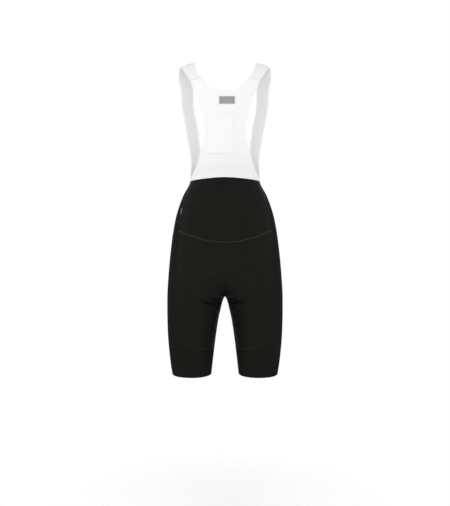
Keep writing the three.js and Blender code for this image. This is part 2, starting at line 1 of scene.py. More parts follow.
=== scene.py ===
# %% [markdown]
# # Cycling bib shorts
# Bib shorts are tight cycling shorts held up by a light upper part, the bib, instead of a waistband.
# This lesson dresses the solid model of one pair with its real surfaces: black stretch knit with fine
# ribs, a white mesh bib, rows of sewing, a patch pocket, a label and the seat pad inside.
# The solids come first. They fix every place and size, and nothing below moves them.

# %% Load the solids
import bpy
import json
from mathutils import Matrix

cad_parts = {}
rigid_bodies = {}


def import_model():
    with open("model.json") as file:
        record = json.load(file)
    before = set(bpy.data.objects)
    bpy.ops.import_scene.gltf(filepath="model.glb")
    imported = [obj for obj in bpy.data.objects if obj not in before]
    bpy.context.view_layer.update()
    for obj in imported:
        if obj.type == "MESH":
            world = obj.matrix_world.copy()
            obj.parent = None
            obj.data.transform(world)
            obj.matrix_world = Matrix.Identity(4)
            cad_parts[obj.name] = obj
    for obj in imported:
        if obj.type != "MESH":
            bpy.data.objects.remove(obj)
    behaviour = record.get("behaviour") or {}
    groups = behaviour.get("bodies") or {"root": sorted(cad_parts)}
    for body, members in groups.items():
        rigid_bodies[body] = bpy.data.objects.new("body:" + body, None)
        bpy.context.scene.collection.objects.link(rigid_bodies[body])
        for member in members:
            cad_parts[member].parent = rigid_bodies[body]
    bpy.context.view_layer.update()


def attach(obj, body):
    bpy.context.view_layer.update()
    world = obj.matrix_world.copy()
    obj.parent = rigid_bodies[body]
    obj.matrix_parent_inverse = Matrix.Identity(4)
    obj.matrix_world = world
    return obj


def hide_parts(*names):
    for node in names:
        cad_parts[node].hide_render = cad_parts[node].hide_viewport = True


for leftover in list(bpy.data.objects):
    bpy.data.objects.remove(leftover)
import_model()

# %% Tools of this lesson
import json
import math

import mathutils
import numpy as np

BODY = "root"
SIDES = ((1, "left"), (-1, "right"))


def mix(a, b, t):
    """The value a share t of the way from a to b."""
    return a + (b - a) * t


def ease(t):
    """A share that leaves 0 and reaches 1 gently."""
    return t * t * (3 - 2 * t)


def share_of(value, start, end):
    """How far a value has come from start (0) to end (1)."""
    return np.clip((value - start) / (end - start), 0, 1)


def table(columns, *rows):
    """Named columns of a table whose rows run down the garment."""
    return dict(zip(columns.split(), np.array(rows, float).T))


print("a quarter of the way, eased:", ease(0.25))

# %% [markdown]
# ## The figure under the cloth
# Stretch cloth takes the shape of what fills it, so every piece of the garment lies on one smooth form.
# It could be sculpted, but then seams, stitches and pieces would each have to be fitted to it by eye.
# Here the form is a rule instead: short tables give its width and depth at each height, in metres, and
# a rounded ring joins them. Any piece can ask for the point at a height and a share of the way round.

# %% Widths and depths of the form
OUTLINE = table(
    "z half",
    (-0.040, 0.1570), (-0.066, 0.1570), (-0.117, 0.1520), (-0.170, 0.1420), (-0.213, 0.1300),
    (-0.258, 0.1180), (-0.303, 0.1080), (-0.342, 0.1040), (-0.360, 0.1060), (-0.396, 0.1250),
    (-0.450, 0.1440), (-0.504, 0.1550), (-0.576, 0.1640), (-0.648, 0.1700), (-0.702, 0.1725),
    (-0.792, 0.1715), (-0.846, 0.1680), (-0.900, 0.1620), (-0.940, 0.1555),
)
TRUNK = table(
    "z front back",
    (-0.040, 0.078, 0.074), (-0.066, 0.092, 0.085), (-0.117, 0.116, 0.098), (-0.170, 0.121, 0.100),
    (-0.213, 0.115, 0.096), (-0.258, 0.101, 0.090), (-0.303, 0.087, 0.082), (-0.342, 0.079, 0.076),
    (-0.360, 0.080, 0.079), (-0.396, 0.088, 0.089), (-0.450, 0.097, 0.104), (-0.504, 0.102, 0.115),
    (-0.576, 0.102, 0.124), (-0.640, 0.097, 0.125), (-0.700, 0.090, 0.114), (-0.760, 0.084, 0.098),
)
LEG = table(
    "z front back",
    (-0.576, 0.101, 0.120), (-0.640, 0.098, 0.118), (-0.696, 0.092, 0.107), (-0.740, 0.087, 0.096),
    (-0.792, 0.080, 0.086), (-0.846, 0.073, 0.076), (-0.900, 0.066, 0.067), (-0.940, 0.060, 0.060),
)
SQUARENESS = 2.2
CROTCH = -0.696
CROTCH_CURVE = 0.086
CROTCH_CURVE_SQUARENESS = 2.5
GAP_RATE, GAP_POWER = 0.0978, 0.6
SHAPE_CHANGE = (-0.596, -0.756)
SPACING_CHANGE = (-0.560, -0.680)
LEG_SPACING_DEPTH = 0.120
LEG_CROWDING = (0.55, 0.9, -0.45)
print("form: half width", OUTLINE["half"].min(), "to", OUTLINE["half"].max())


# %% Smooth values between the rows of a table
def at_level(rows, column, z):
    """Smooth value of one column of a table at the level z."""
    levels, values = rows["z"], rows[column]
    last = len(levels) - 1
    before, after = np.maximum(np.arange(last + 1) - 1, 0), np.minimum(np.arange(last + 1) + 1, last)
    slopes = (values[after] - values[before]) / (levels[after] - levels[before])
    z = np.clip(z, levels[-1], levels[0])
    k = np.clip(np.searchsorted(-levels, -z) - 1, 0, last - 1)
    span = levels[k + 1] - levels[k]
    t = (z - levels[k]) / span
    leave = t * (1 - t) ** 2 * span * slopes[k]
    arrive = t * t * (t - 1) * span * slopes[k + 1]
    return mix(values[k], values[k + 1], ease(t)) + leave + arrive


def above(change, z):
    """Share of a change that is still to come at a level: 1 above it and 0 below it."""
    return ease(share_of(z, change[1], change[0]))


print("half width where the hips are widest:", at_level(OUTLINE, "half", -0.702).round(4))

# %% [markdown]
# ### Rings
# Above the crotch one ring goes round the whole body, and below it each leg has a ring of its own.
# A rounded ring (a superellipse) is a little squarer than an ellipse, as a filled-out garment is.
# Between the two, the depths of both rings are mixed at the same distance from the middle.

# %% Rings of the body and of the legs
def ring_across(angle, half, depth):
    """Distance across from the middle of a ring, at an angle from its widest place."""
    reach = (np.abs(np.cos(angle)) / half) ** SQUARENESS + (np.abs(np.sin(angle)) / depth) ** SQUARENESS
    return np.cos(angle) * reach ** (-1 / SQUARENESS)


def ring_depth(offset, half, depth):
    """Depth of a ring at a distance across from its middle."""
    rest = 1 - (np.abs(offset) / half) ** SQUARENESS
    return depth * np.maximum(rest, 0) ** (1 / SQUARENESS)


def leg_gap(z):
    """Half of the gap between the legs."""
    return GAP_RATE * np.maximum(CROTCH - z, 0) ** GAP_POWER


def across_at(around, z):
    """Distance from the middle: around is -1 at the middle of the front, 0 at the side, 1 at the back."""
    half, gap = at_level(OUTLINE, "half", z), leg_gap(z)
    square = around * around
    crowded = around * (LEG_CROWDING[0] + LEG_CROWDING[1] * square + LEG_CROWDING[2] * square * square)
    crowding = ease(np.clip(1 - (CROTCH - z) / LEG_SPACING_DEPTH, 0, 1))
    leg_depth, trunk_depth = (
        np.where(around < 0, at_level(rows, "front", z), at_level(rows, "back", z)) for rows in (LEG, TRUNK)
    )
    leg = ring_across(mix(around, crowded, crowding) * math.pi, (half - gap) / 2, leg_depth)
    trunk = ring_across(around * math.pi / 2, half, trunk_depth)
    return mix((half + gap) / 2 + leg, trunk, above(SPACING_CHANGE, z))


def depth_at(x, z, column):
    """Depth of the form at a distance from the middle, to the front or to the back."""
    half, gap = at_level(OUTLINE, "half", z), leg_gap(z)
    centre = (half + gap) / 2
    leg = ring_depth(x - centre, (half - gap) / 2, at_level(LEG, column, z))
    trunk = ring_depth(x, half, at_level(TRUNK, column, z))
    height = np.clip((z - CROTCH) / CROTCH_CURVE, 0, 1)
    middle = (1 - (1 - height) ** CROTCH_CURVE_SQUARENESS) ** (1 / CROTCH_CURVE_SQUARENESS)
    outwards = ease(share_of(x, gap, centre))
    return mix(leg, trunk, mix(middle, above(SHAPE_CHANGE, z), outwards))


print("half gap between the hems:", leg_gap(-0.927).round(4))

# %% [markdown]
# ### Creases
# The photograph shows two short, dark creases under the seat, where the cloth folds as the leg bends back,
# and a dark hollow where the two legs part. Each is a soft trough with a length, a depth, a tilt and a bow
# of its own, pressed into the form, so that every piece and stitch that lies on it follows.

# %% Creases
CREASES = table(
    "x z reach depth width tilt bow",
    (0.0430, -0.7125, 0.0260, 0.0105, 0.0034, 0.10, 0.0034),
    (-0.0370, -0.7095, 0.0230, 0.0120, 0.0034, -0.06, 0.0034),
    (0.0000, -0.6850, 0.0130, 0.0140, 0.0140, 0.00, 0.0000),
    (0.0210, -0.6960, 0.0180, 0.0070, 0.0080, -0.75, 0.0000),
    (-0.0210, -0.6960, 0.0180, 0.0070, 0.0080, 0.75, 0.0000),
    (-0.0450, -0.7525, 0.0200, 0.0016, 0.0030, 0.27, 0.0000),
    (0.0720, -0.7020, 0.0280, 0.0010, 0.0080, 0.35, 0.0000),
    (-0.0680, -0.7000, 0.0260, 0.0009, 0.0080, -0.32, 0.0000),
)
CREASE_FADE_DEPTH = 0.060


def crease_depth(x, z, soften):
    """How deep the deepest crease is at a place on the back."""
    depth = 0
    for row in zip(*CREASES.values()):
        crease = dict(zip(CREASES, row))
        along = (x - crease["x"]) / crease["reach"]
        line = crease["z"] + crease["tilt"] * (x - crease["x"]) + crease["bow"] * along * along
        across = (z - line) / math.hypot(crease["width"], soften)
        depth = np.maximum(depth, crease["depth"] * np.exp(-across * across - along * along))
    return depth


print("creases:", len(CREASES["x"]), "deepest", CREASES["depth"].max())

# %% [markdown]
# ### From places to points and back
# A place on the cloth is a share of the way round and a height. One function turns places into points in
# space. The other goes back: it finds the share by halving a range again and again until the width fits,
# which is slower than a formula but works for any form.

# %% Points of the form
HALVINGS = 40


def form_point(around, z, side=1, soften=0.0):
    """Points of the garment's outer surface. side is 1 on the left, as worn, and -1 on the right.
    soften widens the creases for what lies deeper inside."""
    around, z = np.broadcast_arrays(around, z)
    x = across_at(around, z)
    back = depth_at(x, z, "back")
    back = back - crease_depth(side * x, z, soften) * ease(np.clip(back / CREASE_FADE_DEPTH, 0, 1))
    return np.stack([side * x, np.where(around < 0, -depth_at(x, z, "front"), back), z], -1)


def around_at(x, z, front=False):
    """How far round a point lies that is x from the middle."""
    x, z = np.broadcast_arrays(np.abs(x), z)
    near, far = np.zeros(x.shape), np.ones(x.shape)
    for _ in range(HALVINGS):
        middle = (near + far) / 2
        beyond = across_at(-middle if front else middle, z) > x
        near, far = np.where(beyond, middle, near), np.where(beyond, far, middle)
    return -near if front else near


print("crotch at", form_point(np.array(1.0), CROTCH).round(4))

# %% [markdown]
# ## Cloth on the form
# A piece of cloth is a grid of points on the form. The grid gives everything else: faces, a UV map in
# metres for the knit, the normals along which the wall gets its thickness, and the paths of the seams.
# Drawing each piece as a flat pattern and wrapping it would be closer to a maker's work, but a grid on
# the form lies where the photograph shows the cloth, with no wrapping errors at the seams.

# %% Lines of a grid
NEAR_EDGE = (0.0, 0.25, 1.0)


def lines(count, near_start=0.0, near_end=0.0):
    """Shares from 0 to 1 for a grid, with closer lines near an edge that rolls inwards."""
    even = np.linspace(near_start, 1 - near_end, count + 1)
    first = [near_start * share for share in NEAR_EDGE[:-1]] if near_start else []
    last = [1 - near_end * share for share in reversed(NEAR_EDGE[:-1])] if near_end else []
    return np.concatenate([first, even, last])


def run_lengths(points, axis):
    """Length along each line of a grid, from its start."""
    steps = np.linalg.norm(np.diff(points, axis=axis), axis=-1)
    start = np.zeros_like(np.take(steps, [0], axis=axis))
    return np.concatenate([start, np.cumsum(steps, axis=axis)], axis=axis)


print("lines across a narrow grid:", lines(3, 0.05, 0.05).round(3))

# %% A stretch of cloth
POINT_VALUES = ("place", "share", "proud", "thinner", "doubled")
SMALLEST = 1e-12


def grid(points, side=1, middle=0, **values):
    """A stretch of cloth. side turns its face. Its values at each point are where it lies across the
    ribs (place), how strong they are (share), how far the face stands proud (proud), how much
    thinner the wall is (thinner), and whether the cloth is turned under there (doubled)."""
    across, down = run_lengths(points, 0), run_lengths(points, 1)
    across = across - across[middle]
    shape = points.shape[:2]
    made = {"points": points, "side": side, "uv": np.stack([side * across, -down], -1)}
    for key in POINT_VALUES:
        made[key] = values.get(key, np.zeros(shape))
    return made


def unit(vectors):
    """The same directions, each with the length 1."""
    return vectors / np.maximum(np.linalg.norm(vectors, axis=-1, keepdims=True), SMALLEST)


def grid_normals(points, side):
    """Outward normals of a grid, from the directions of its lines."""
    down = np.gradient(points, axis=1)
    across = np.gradient(points, axis=0)
    return unit(np.cross(down, across) * side)


print("values at each point:", POINT_VALUES)

# %% [markdown]
# ### Smooth paths
# Straps, armholes and the pad's edge run through a few points. Blender's own curves would need handles
# that are set by hand. A centripetal spline needs only the points, and never loops between close ones.

# %% Paths
def smooth_path(controls, per_span):
    """A centripetal spline through points, per_span steps between one point and the next."""
    ends = [2 * controls[0] - controls[1], *controls, 2 * controls[-1] - controls[-2]]
    made = [controls[:1]]
    spans = [np.linalg.norm(b - a, axis=-1, keepdims=True) ** 0.5 for a, b in zip(ends, ends[1:])]
    for k in range(1, len(ends) - 2):
        p0, p1, p2, p3 = ends[k - 1:k + 3]
        gaps = spans[k - 1:k + 2]
        leave = ((p1 - p0) / gaps[0] - (p2 - p0) / (gaps[0] + gaps[1])) * gaps[1] + p2 - p1
        arrive = ((p3 - p2) / gaps[2] - (p3 - p1) / (gaps[1] + gaps[2])) * gaps[1] + p2 - p1
        for t in np.arange(1, per_span + 1) / per_span:
            point = mix(p1, p2, ease(t)) + t * (1 - t) ** 2 * leave + t * t * (t - 1) * arrive
            made.append(point[None])
    return np.concatenate(made)


def evenly(path, shares):
    """Points at shares of the length of a path."""
    lengths = run_lengths(path[:, None], 0)[:, 0]
    return np.stack([np.interp(shares * lengths[-1], lengths, path[:, k]) for k in range(3)], -1)


corner_path = smooth_path(np.array([(0, 0, 0), (0, 0, 1), (0, 1, 1)], float), 8)
print("a path round a corner:", run_lengths(corner_path[:, None], 0)[-1, 0].round(3))

# %% [markdown]
# ### Walls
# A knit is about a millimetre thick, and that shows at every edge. Blender's Solidify modifier could give
# the thickness. The wall is made here by hand instead, because the edges of each piece also have to draw
# back a little and roll inwards, as cloth does where it is sewn.

# %% Edges of a wall
SEAM_HALF_GAP, EDGE_ROLL, WELD_STEPS = 0.00018, 0.0003, 1e6


def weld(points):
    """Numbers of the merged points, so that grids that meet share them."""
    _, first, numbers = np.unique(
        np.round(points * WELD_STEPS).astype(np.int64), axis=0, return_index=True, return_inverse=True
    )
    return first, numbers.reshape(-1)


def open_edges(faces):
    """Edges that only one face has, in that face's direction."""
    starts, ends = faces.reshape(-1), np.roll(faces, -1, axis=1).reshape(-1)
    real = starts != ends
    starts, ends = starts[real], ends[real]
    size = faces.max() + 1
    lone = ~np.isin(starts * size + ends, ends * size + starts)
    return starts[lone], ends[lone]


def edge_pull(points, normals, starts, ends, gap):
    """How far the points of the open edges draw back into their own piece."""
    inward = unit(np.cross(normals[starts], points[ends] - points[starts]))
    inward_end = unit(np.cross(normals[ends], points[ends] - points[starts]))
    pull = np.zeros_like(points)
    np.add.at(pull, starts, inward)
    np.add.at(pull, ends, inward_end)
    return unit(pull) * gap


print("merged points lie within", 1000 / WELD_STEPS, "mm of each other")

# %% Faces, normals and area
def grid_faces(grids, numbers):
    """Faces of all the grids, by the numbers of their merged points, and the UV place of each corner."""
    faces, uvs, offset = [], [], 0
    all_uvs = np.concatenate([g["uv"].reshape(-1, 2) for g in grids])
    for g in grids:
        columns, rows = g["points"].shape[:2]
        index = offset + np.arange(columns * rows).reshape(columns, rows)
        cells = np.stack([index[:-1, :-1], index[:-1, 1:], index[1:, 1:], index[1:, :-1]], -1)
        cells = cells.reshape(-1, 4) if g["side"] > 0 else cells.reshape(-1, 4)[:, ::-1]
        faces.append(numbers[cells])
        uvs.append(all_uvs[cells])
        offset += columns * rows
    return np.concatenate(faces), np.concatenate(uvs)


def point_normals(points, faces):
    """Normals of the points of a net of faces, and its area."""
    crossed = np.cross(
        points[faces[:, 2]] - points[faces[:, 0]], points[faces[:, 3]] - points[faces[:, 1]]
    )
    normals = np.zeros_like(points)
    for corner in range(4):
        np.add.at(normals, faces[:, corner], unit(crossed))
    return unit(normals), np.linalg.norm(crossed, axis=1).sum() / 2


unit_square = np.array([(0, 0, 0), (1, 0, 0), (1, 1, 0), (0, 1, 0)], float)
print("area of a unit square:", point_normals(unit_square, np.array([(0, 1, 2, 3)]))[1])

# %% Meshes and objects
SHARP_ANGLE = math.radians(55)


def clean_faces(faces):
    """Faces as lists, in which a corner that is merged with the one before is left out."""
    return [[corner for k, corner in enumerate(face) if corner != face[k - 1]] for face in faces.tolist()]


def write_uv(mesh, faces, uvs):
    """A UV map in metres, by corner."""
    keep = faces != np.roll(faces, 1, axis=1)
    layer = mesh.uv_layers.new(name="cloth")
    layer.data.foreach_set("uv", uvs[keep].astype(np.float32).reshape(-1))


def write_attribute(mesh, name, values):
    """A value or a vector at each point."""
    kind, key = ("FLOAT_VECTOR", "vector") if values.ndim > 1 else ("FLOAT", "value")
    attribute = mesh.attributes.new(name, kind, "POINT")
    attribute.data.foreach_set(key, values.astype(np.float32).reshape(-1))


def add_object(name, data):
    """An object at the origin, in the scene."""
    made = bpy.data.objects.new(name, data)
    bpy.context.scene.collection.objects.link(made)
    return made


def finish_piece(name, mesh, material):
    """An object of smooth faces and one material."""
    mesh.materials.append(material)
    mesh.polygons.foreach_set("use_smooth", np.ones(len(mesh.polygons), bool))
    mesh.set_sharp_from_angle(angle=SHARP_ANGLE)
    mesh.validate()
    return add_object(name, mesh)


print("edges sharper than", round(math.degrees(SHARP_ANGLE)), "degrees stay sharp")

# %% A wall of cloth
def cloth_wall(name, grids, wall, material, roll=EDGE_ROLL, lift=0.0, gap=SEAM_HALF_GAP):
    """A closed wall of cloth from one or more grids, and its area. At an open edge the outer face draws
    back by gap and sinks by roll, while the inner face still reaches the seam."""
    points = np.concatenate([g["points"].reshape(-1, 3) for g in grids])
    first, numbers = weld(points)
    faces, uvs = grid_faces(grids, numbers)
    points = points[first]
    normals, area = point_normals(points, faces)
    starts, ends = open_edges(faces)
    rim = np.zeros(len(points), bool)
    rim[starts] = rim[ends] = True
    extra = {key: np.concatenate([g[key].reshape(-1) for g in grids])[first] for key in POINT_VALUES}
    drawn_back = points + edge_pull(points, normals, starts, ends, gap)
    outer = drawn_back + normals * (lift - roll * rim + extra["proud"])[:, None]
    inner_lift = lift - wall + extra["thinner"] + (roll + extra["proud"]) * rim
    inner = points + normals * inner_lift[:, None]
    count = len(points)
    sides = np.stack([ends, starts, starts + count, ends + count], -1)
    all_faces = np.concatenate([faces, faces[:, ::-1] + count, sides])
    rim_uv = np.zeros((count, 2))
    rim_uv[faces.reshape(-1)] = uvs.reshape(-1, 2)
    all_uv = np.concatenate([uvs, uvs[:, ::-1], rim_uv[np.stack([ends, starts, starts, ends], -1)]])
    mesh = bpy.data.meshes.new(name)
    mesh.from_pydata(np.concatenate([outer, inner]).tolist(), [], clean_faces(all_faces))
    write_uv(mesh, all_faces, all_uv)
    write_attribute(mesh, "outwards", np.concatenate([normals, -normals]))
    carried = {"doubled": extra["doubled"], "rib_place": extra["place"], "rib_share": extra["share"] * ~rim}
    for key, values in carried.items():
        write_attribute(mesh, key, np.tile(values, 2))
    return finish_piece(name, mesh, material), area


print("a wall is sewn with a gap of", SEAM_HALF_GAP * 2000, "mm unless told otherwise")

# %% [markdown]
# ## Finishes of the cloth
# A finish has to show what the cloth is at arm's length and close up. A photograph of knit could be
# wrapped round the pieces, but it would blur and repeat, so each pattern is worked out from nodes.
# Patterns that several cloths share are node groups: loops of knit, holes of a mesh, and the slight
# unevenness that every cloth has. Each group puts out only masks and heights that change over the
# surface. The plain numbers, such as sheen, stay on the shader itself.

# %% Helpers for nodes
def add_node(tree, kind, inputs=(), **settings):
    """A node whose inputs are plain values or other nodes' outputs."""
    node = tree.nodes.new(kind)
    for name, value in settings.items():
        setattr(node, name, value)
    for name, value in dict(inputs).items():
        socket = node.inputs[name]
        if isinstance(value, bpy.types.NodeSocket):
            tree.links.new(value, socket)
        else:
            socket.default_value = value
    return node


def maths(tree, operation, *values, clamp=False):
    """Output of a Math node."""
    node = add_node(tree, "ShaderNodeMath", enumerate(values), operation=operation, use_clamp=clamp)
    return node.outputs[0]


def map_range(tree, value, start, end, first=0.0, last=1.0, **settings):
    """A value that goes from start to end, turned into one that goes from first to last."""
    sockets = enumerate((value, start, end, first, last))
    return add_node(tree, "ShaderNodeMapRange", sockets, **settings).outputs[0]


print("helpers:", [helper.__name__ for helper in (add_node, maths, map_range)])

# %% Node groups
def new_group(name, kind, inputs, outputs):
    """A node group with named sockets: its tree, its inputs and its output node."""
    tree = bpy.data.node_groups.new(name, kind)
    for socket_name, socket_kind, value in inputs:
        socket = tree.interface.new_socket(socket_name, in_out="INPUT", socket_type=socket_kind)
        if value is not None:
            socket.default_value = value
    for socket_name, socket_kind in outputs:
        tree.interface.new_socket(socket_name, in_out="OUTPUT", socket_type=socket_kind)
    given = tree.nodes.new("NodeGroupInput").outputs
    result = tree.nodes.new("NodeGroupOutput").inputs
    return tree, given, result


FLOAT, VECTOR, SHAPE = "NodeSocketFloat", "NodeSocketVector", "NodeSocketGeometry"
MATERIAL = "NodeSocketMaterial"
print("sockets of the groups:", FLOAT, VECTOR, SHAPE, MATERIAL)

# %% [markdown]
# ### Loops of knit
# Stretch knit is rows of small V-shaped loops. Modelled loops would be far too many, and an image would
# blur close up. One cosine runs up each column of loops and is bent by the distance from the column's
# middle, which draws the V, and a sine rounds the column itself.

# %% Node group for knit loops
LOOP_RELIEF = 0.35


def make_knit_loops():
    """Columns of V-shaped loops: Height is 1 on the yarn, Gap is 1 between the columns, where the finish
    paints shade.
    """
    tree, given, result = new_group(
        "knit_loops", "ShaderNodeTree",
        [("Vector", VECTOR, None), ("Loop Width", FLOAT, 0.001), ("Loop Height", FLOAT, 0.0008)],
        [("Height", FLOAT), ("Gap", FLOAT)],
    )
    place = add_node(tree, "ShaderNodeSeparateXYZ", {0: given["Vector"]}).outputs
    column = maths(tree, "DIVIDE", place["X"], given["Loop Width"])
    row = maths(tree, "DIVIDE", place["Y"], given["Loop Height"])
    from_middle = maths(tree, "PINGPONG", column, 0.5)
    bent = maths(tree, "ADD", row, from_middle)
    wave = maths(tree, "COSINE", maths(tree, "MULTIPLY", bent, math.tau))
    rounded = maths(tree, "SINE", maths(tree, "MULTIPLY", from_middle, math.tau))
    along = maths(tree, "MULTIPLY_ADD", wave, LOOP_RELIEF, 1 - LOOP_RELIEF)
    height = maths(tree, "MULTIPLY", along, rounded)
    tree.links.new(height, result["Height"])
    tree.links.new(maths(tree, "SUBTRACT", 1.0, height, clamp=True), result["Gap"])
    return tree


KNIT_LOOPS = make_knit_loops()
print("loops of knit:", len(KNIT_LOOPS.nodes), "nodes")

# %% [markdown]
# ### Holes of a mesh
# The bib is warp-knit mesh, with small round holes in staggered rows. Real holes would need millions of
# faces for what is less than a pixel at arm's length. The product of two cosines gives the same
# staggered spots as a mask, by which the finish paints shade into the holes and bumps their edges.

# %% Node group for the holes
HOLE_EDGE = (0.3, 0.85)


def make_mesh_holes():
    """Staggered round holes: Hole is 1 inside one."""
    tree, given, result = new_group(
        "mesh_holes", "ShaderNodeTree",
        [("Vector", VECTOR, None), ("Pitch", FLOAT, 0.0016)],
        [("Height", FLOAT), ("Hole", FLOAT)],
    )
    place = add_node(tree, "ShaderNodeSeparateXYZ", {0: given["Vector"]}).outputs
    across = maths(tree, "DIVIDE", place["X"], given["Pitch"])
    down = maths(tree, "DIVIDE", place["Y"], given["Pitch"])
    waves = [maths(tree, "COSINE", maths(tree, "MULTIPLY", way, math.tau)) for way in (across, down)]
    both = maths(tree, "MULTIPLY", *waves)
    hole = map_range(tree, both, *HOLE_EDGE, interpolation_type="SMOOTHSTEP")
    tree.links.new(hole, result["Hole"])
    tree.links.new(maths(tree, "SUBTRACT", 1.0, hole), result["Height"])
    return tree


MESH_HOLES = make_mesh_holes()
print("holes of the mesh:", len(MESH_HOLES.nodes), "nodes")

# %% [markdown]
# ### Unevenness
# Even new cloth is not one flat colour: the yarn takes the dye a little unevenly, and it has flecks.
# This could be painted by hand. Two noises, one broad and one fine, do it the same way on every piece,
# and because they are read in the object's own space, they cross the seams without a jump.

# %% Node group for unevenness
NOISE_RANGE = (0.3, 0.7)


def make_cloth_life():
    """Slight unevenness of any cloth: broad soft patches and fine flecks, both 0 to 1."""
    tree, given, result = new_group(
        "cloth_life", "ShaderNodeTree",
        [("Vector", VECTOR, None), ("Patch Scale", FLOAT, 14.0), ("Fleck Scale", FLOAT, 900.0)],
        [("Patch", FLOAT), ("Fleck", FLOAT)],
    )
    for name, scale, detail in (("Patch", "Patch Scale", 3.0), ("Fleck", "Fleck Scale", 1.0)):
        noise = add_node(
            tree, "ShaderNodeTexNoise", {"Vector": given["Vector"], "Scale": given[scale], "Detail": detail}
        )
        tree.links.new(map_range(tree, noise.outputs[0], *NOISE_RANGE), result[name])
    return tree


CLOTH_LIFE = make_cloth_life()
print("unevenness:", len(CLOTH_LIFE.nodes), "nodes")

# %% [markdown]
# ### One recipe for every cloth
# A finish is the same few steps for every cloth: take the pattern of the weave, paint shade into the gaps
# between the threads, add the unevenness, and give the same pattern to a Bump node. Each cloth could
# have a node tree drawn by hand. One function makes them all alike, so that only their numbers differ.

# %% Materials and colours
COLOUR_SOCKETS, COLOUR_OUTPUT = (0, 6, 7), 2


def new_material(name, roughness, **shader_values):
    """A material, its tree and its Principled shader, with plain values on the shader itself."""
    material = bpy.data.materials.new(name)
    material.use_nodes = True
    tree = material.node_tree
    shader = tree.nodes["Principled BSDF"]
    shader.inputs["Roughness"].default_value = roughness
    for socket, value in shader_values.items():
        shader.inputs[socket.replace("_", " ")].default_value = value
    return material, tree, shader


def blend_colours(tree, factor, first, second):
    """The first colour where the factor is 0, the second where it is 1. A Mix node's sockets for
    numbers and colours share their names, so those for colours are chosen by place."""
    node = tree.nodes.new("ShaderNodeMix")
    node.data_type = "RGBA"
    for socket, value in zip(COLOUR_SOCKETS, (factor, first, second)):
        if isinstance(value, bpy.types.NodeSocket):
            tree.links.new(value, node.inputs[socket])
        else:
            node.inputs[socket].default_value = (*value, 1.0) if socket else value
    return node.outputs[COLOUR_OUTPUT]


def point_value(tree, name):
    """A value that the points of a piece carry."""
    return add_node(tree, "ShaderNodeAttribute", attribute_name=name).outputs["Fac"]


print("node groups that materials can use:", len(bpy.data.node_groups))

# %% Recipe of a cloth
BUMP_STRENGTH, FLECK_ROUGHNESS = 0.6, 0.12
BLACK = (0.0, 0.0, 0.0)


def cloth_material(
    name, light, dark, pattern, sizes, depth, roughness, patches=0.3, ribs=0.0, hem=None, **shader_values
):
    """A knit or mesh: light on the threads, with dark between them as painted shade, and the pattern as a
    bump.
    Shade is also painted between its ribs, by the share ribs, and it has the colour hem where it is double."""
    material, tree, shader = new_material(name, roughness, **shader_values)
    uv = add_node(tree, "ShaderNodeUVMap", uv_map="cloth").outputs[0]
    weave = add_node(tree, "ShaderNodeGroup", node_tree=pattern)
    tree.links.new(uv, weave.inputs["Vector"])
    for socket, value in sizes.items():
        weave.inputs[socket].default_value = value
    life = add_node(tree, "ShaderNodeGroup", node_tree=CLOTH_LIFE)
    tree.links.new(tree.nodes.new("ShaderNodeTexCoord").outputs["Object"], life.inputs["Vector"])
    if hem:
        doubled = point_value(tree, "doubled")
        light = blend_colours(tree, doubled, light, hem)
        dark = blend_colours(tree, doubled, dark, hem)
    # Painted shade: the colour dark fills the gaps between the threads and the holes of a mesh.
    threads = blend_colours(tree, weave.outputs[1], light, dark)
    # Painted shade: the colour darkens between the ribs, by the share ribs.
    if ribs:
        between = maths(tree, "MULTIPLY", point_value(tree, "rib_valley_shade"), ribs)
        threads = blend_colours(tree, between, threads, BLACK)
    uneven = maths(tree, "MULTIPLY", life.outputs["Patch"], patches)
    fleck = maths(tree, "MULTIPLY_ADD", life.outputs["Fleck"], patches / 2, uneven, clamp=True)
    tree.links.new(blend_colours(tree, fleck, threads, dark), shader.inputs["Base Color"])
    smoothest = roughness - FLECK_ROUGHNESS / 2
    rough = maths(tree, "MULTIPLY_ADD", life.outputs["Fleck"], FLECK_ROUGHNESS, smoothest, clamp=True)
    tree.links.new(rough, shader.inputs["Roughness"])
    relief_of_weave = {"Strength": BUMP_STRENGTH, "Distance": depth, "Height": weave.outputs[0]}
    bump = add_node(tree, "ShaderNodeBump", relief_of_weave)
    tree.links.new(bump.outputs[0], shader.inputs["Normal"])
    return material


print("patterns to choose from:", KNIT_LOOPS.name, MESH_HOLES.name)

# %% [markdown]
# ### Black knits
# The yoke and the seat are a smooth, heavy knit with a faint soft sheen. The sides are a ribbed knit,
# a little greyer and quite matt, with painted shade between the ribs, and the hem bands are a fine plain
# knit.
# Black paint would look dead: these have a little warm grey on the threads and a darker colour between them,
# painted shade of the gaps in the knit.

# %% Seat, side and band knits
SEAT_KNIT = cloth_material(
    "seat_knit_finish", (0.0119, 0.0122, 0.0103), (0.0064, 0.0065, 0.0055), KNIT_LOOPS,
    {"Loop Width": 0.0009, "Loop Height": 0.0007}, 0.00012, 0.60, Specular_IOR_Level=0.055,
)
SIDE_KNIT = cloth_material(
    "side_knit_finish", (0.0214, 0.0217, 0.0184), (0.0107, 0.0109, 0.0093), KNIT_LOOPS,
    {"Loop Width": 0.0011, "Loop Height": 0.0009}, 0.00016, 0.85, ribs=0.50, Specular_IOR_Level=0.02,
)
BAND_KNIT = cloth_material(
    "band_knit_finish", (0.0148, 0.0154, 0.0128), (0.0080, 0.0082, 0.0070), KNIT_LOOPS,
    {"Loop Width": 0.0008, "Loop Height": 0.0006}, 0.00010, 0.85, Specular_IOR_Level=0.02,
)
print("black knits:", SEAT_KNIT.name, SIDE_KNIT.name, BAND_KNIT.name)

# %% [markdown]
# ### White mesh
# The bib and the pocket are fine white mesh, bright and matt. One layer lets a little of what is behind
# it through, so it looks slightly grey, and where the edge is turned under and double it is whiter. Real
# transparency would be slow and grainy, so the doubled edge only gets a lighter colour.

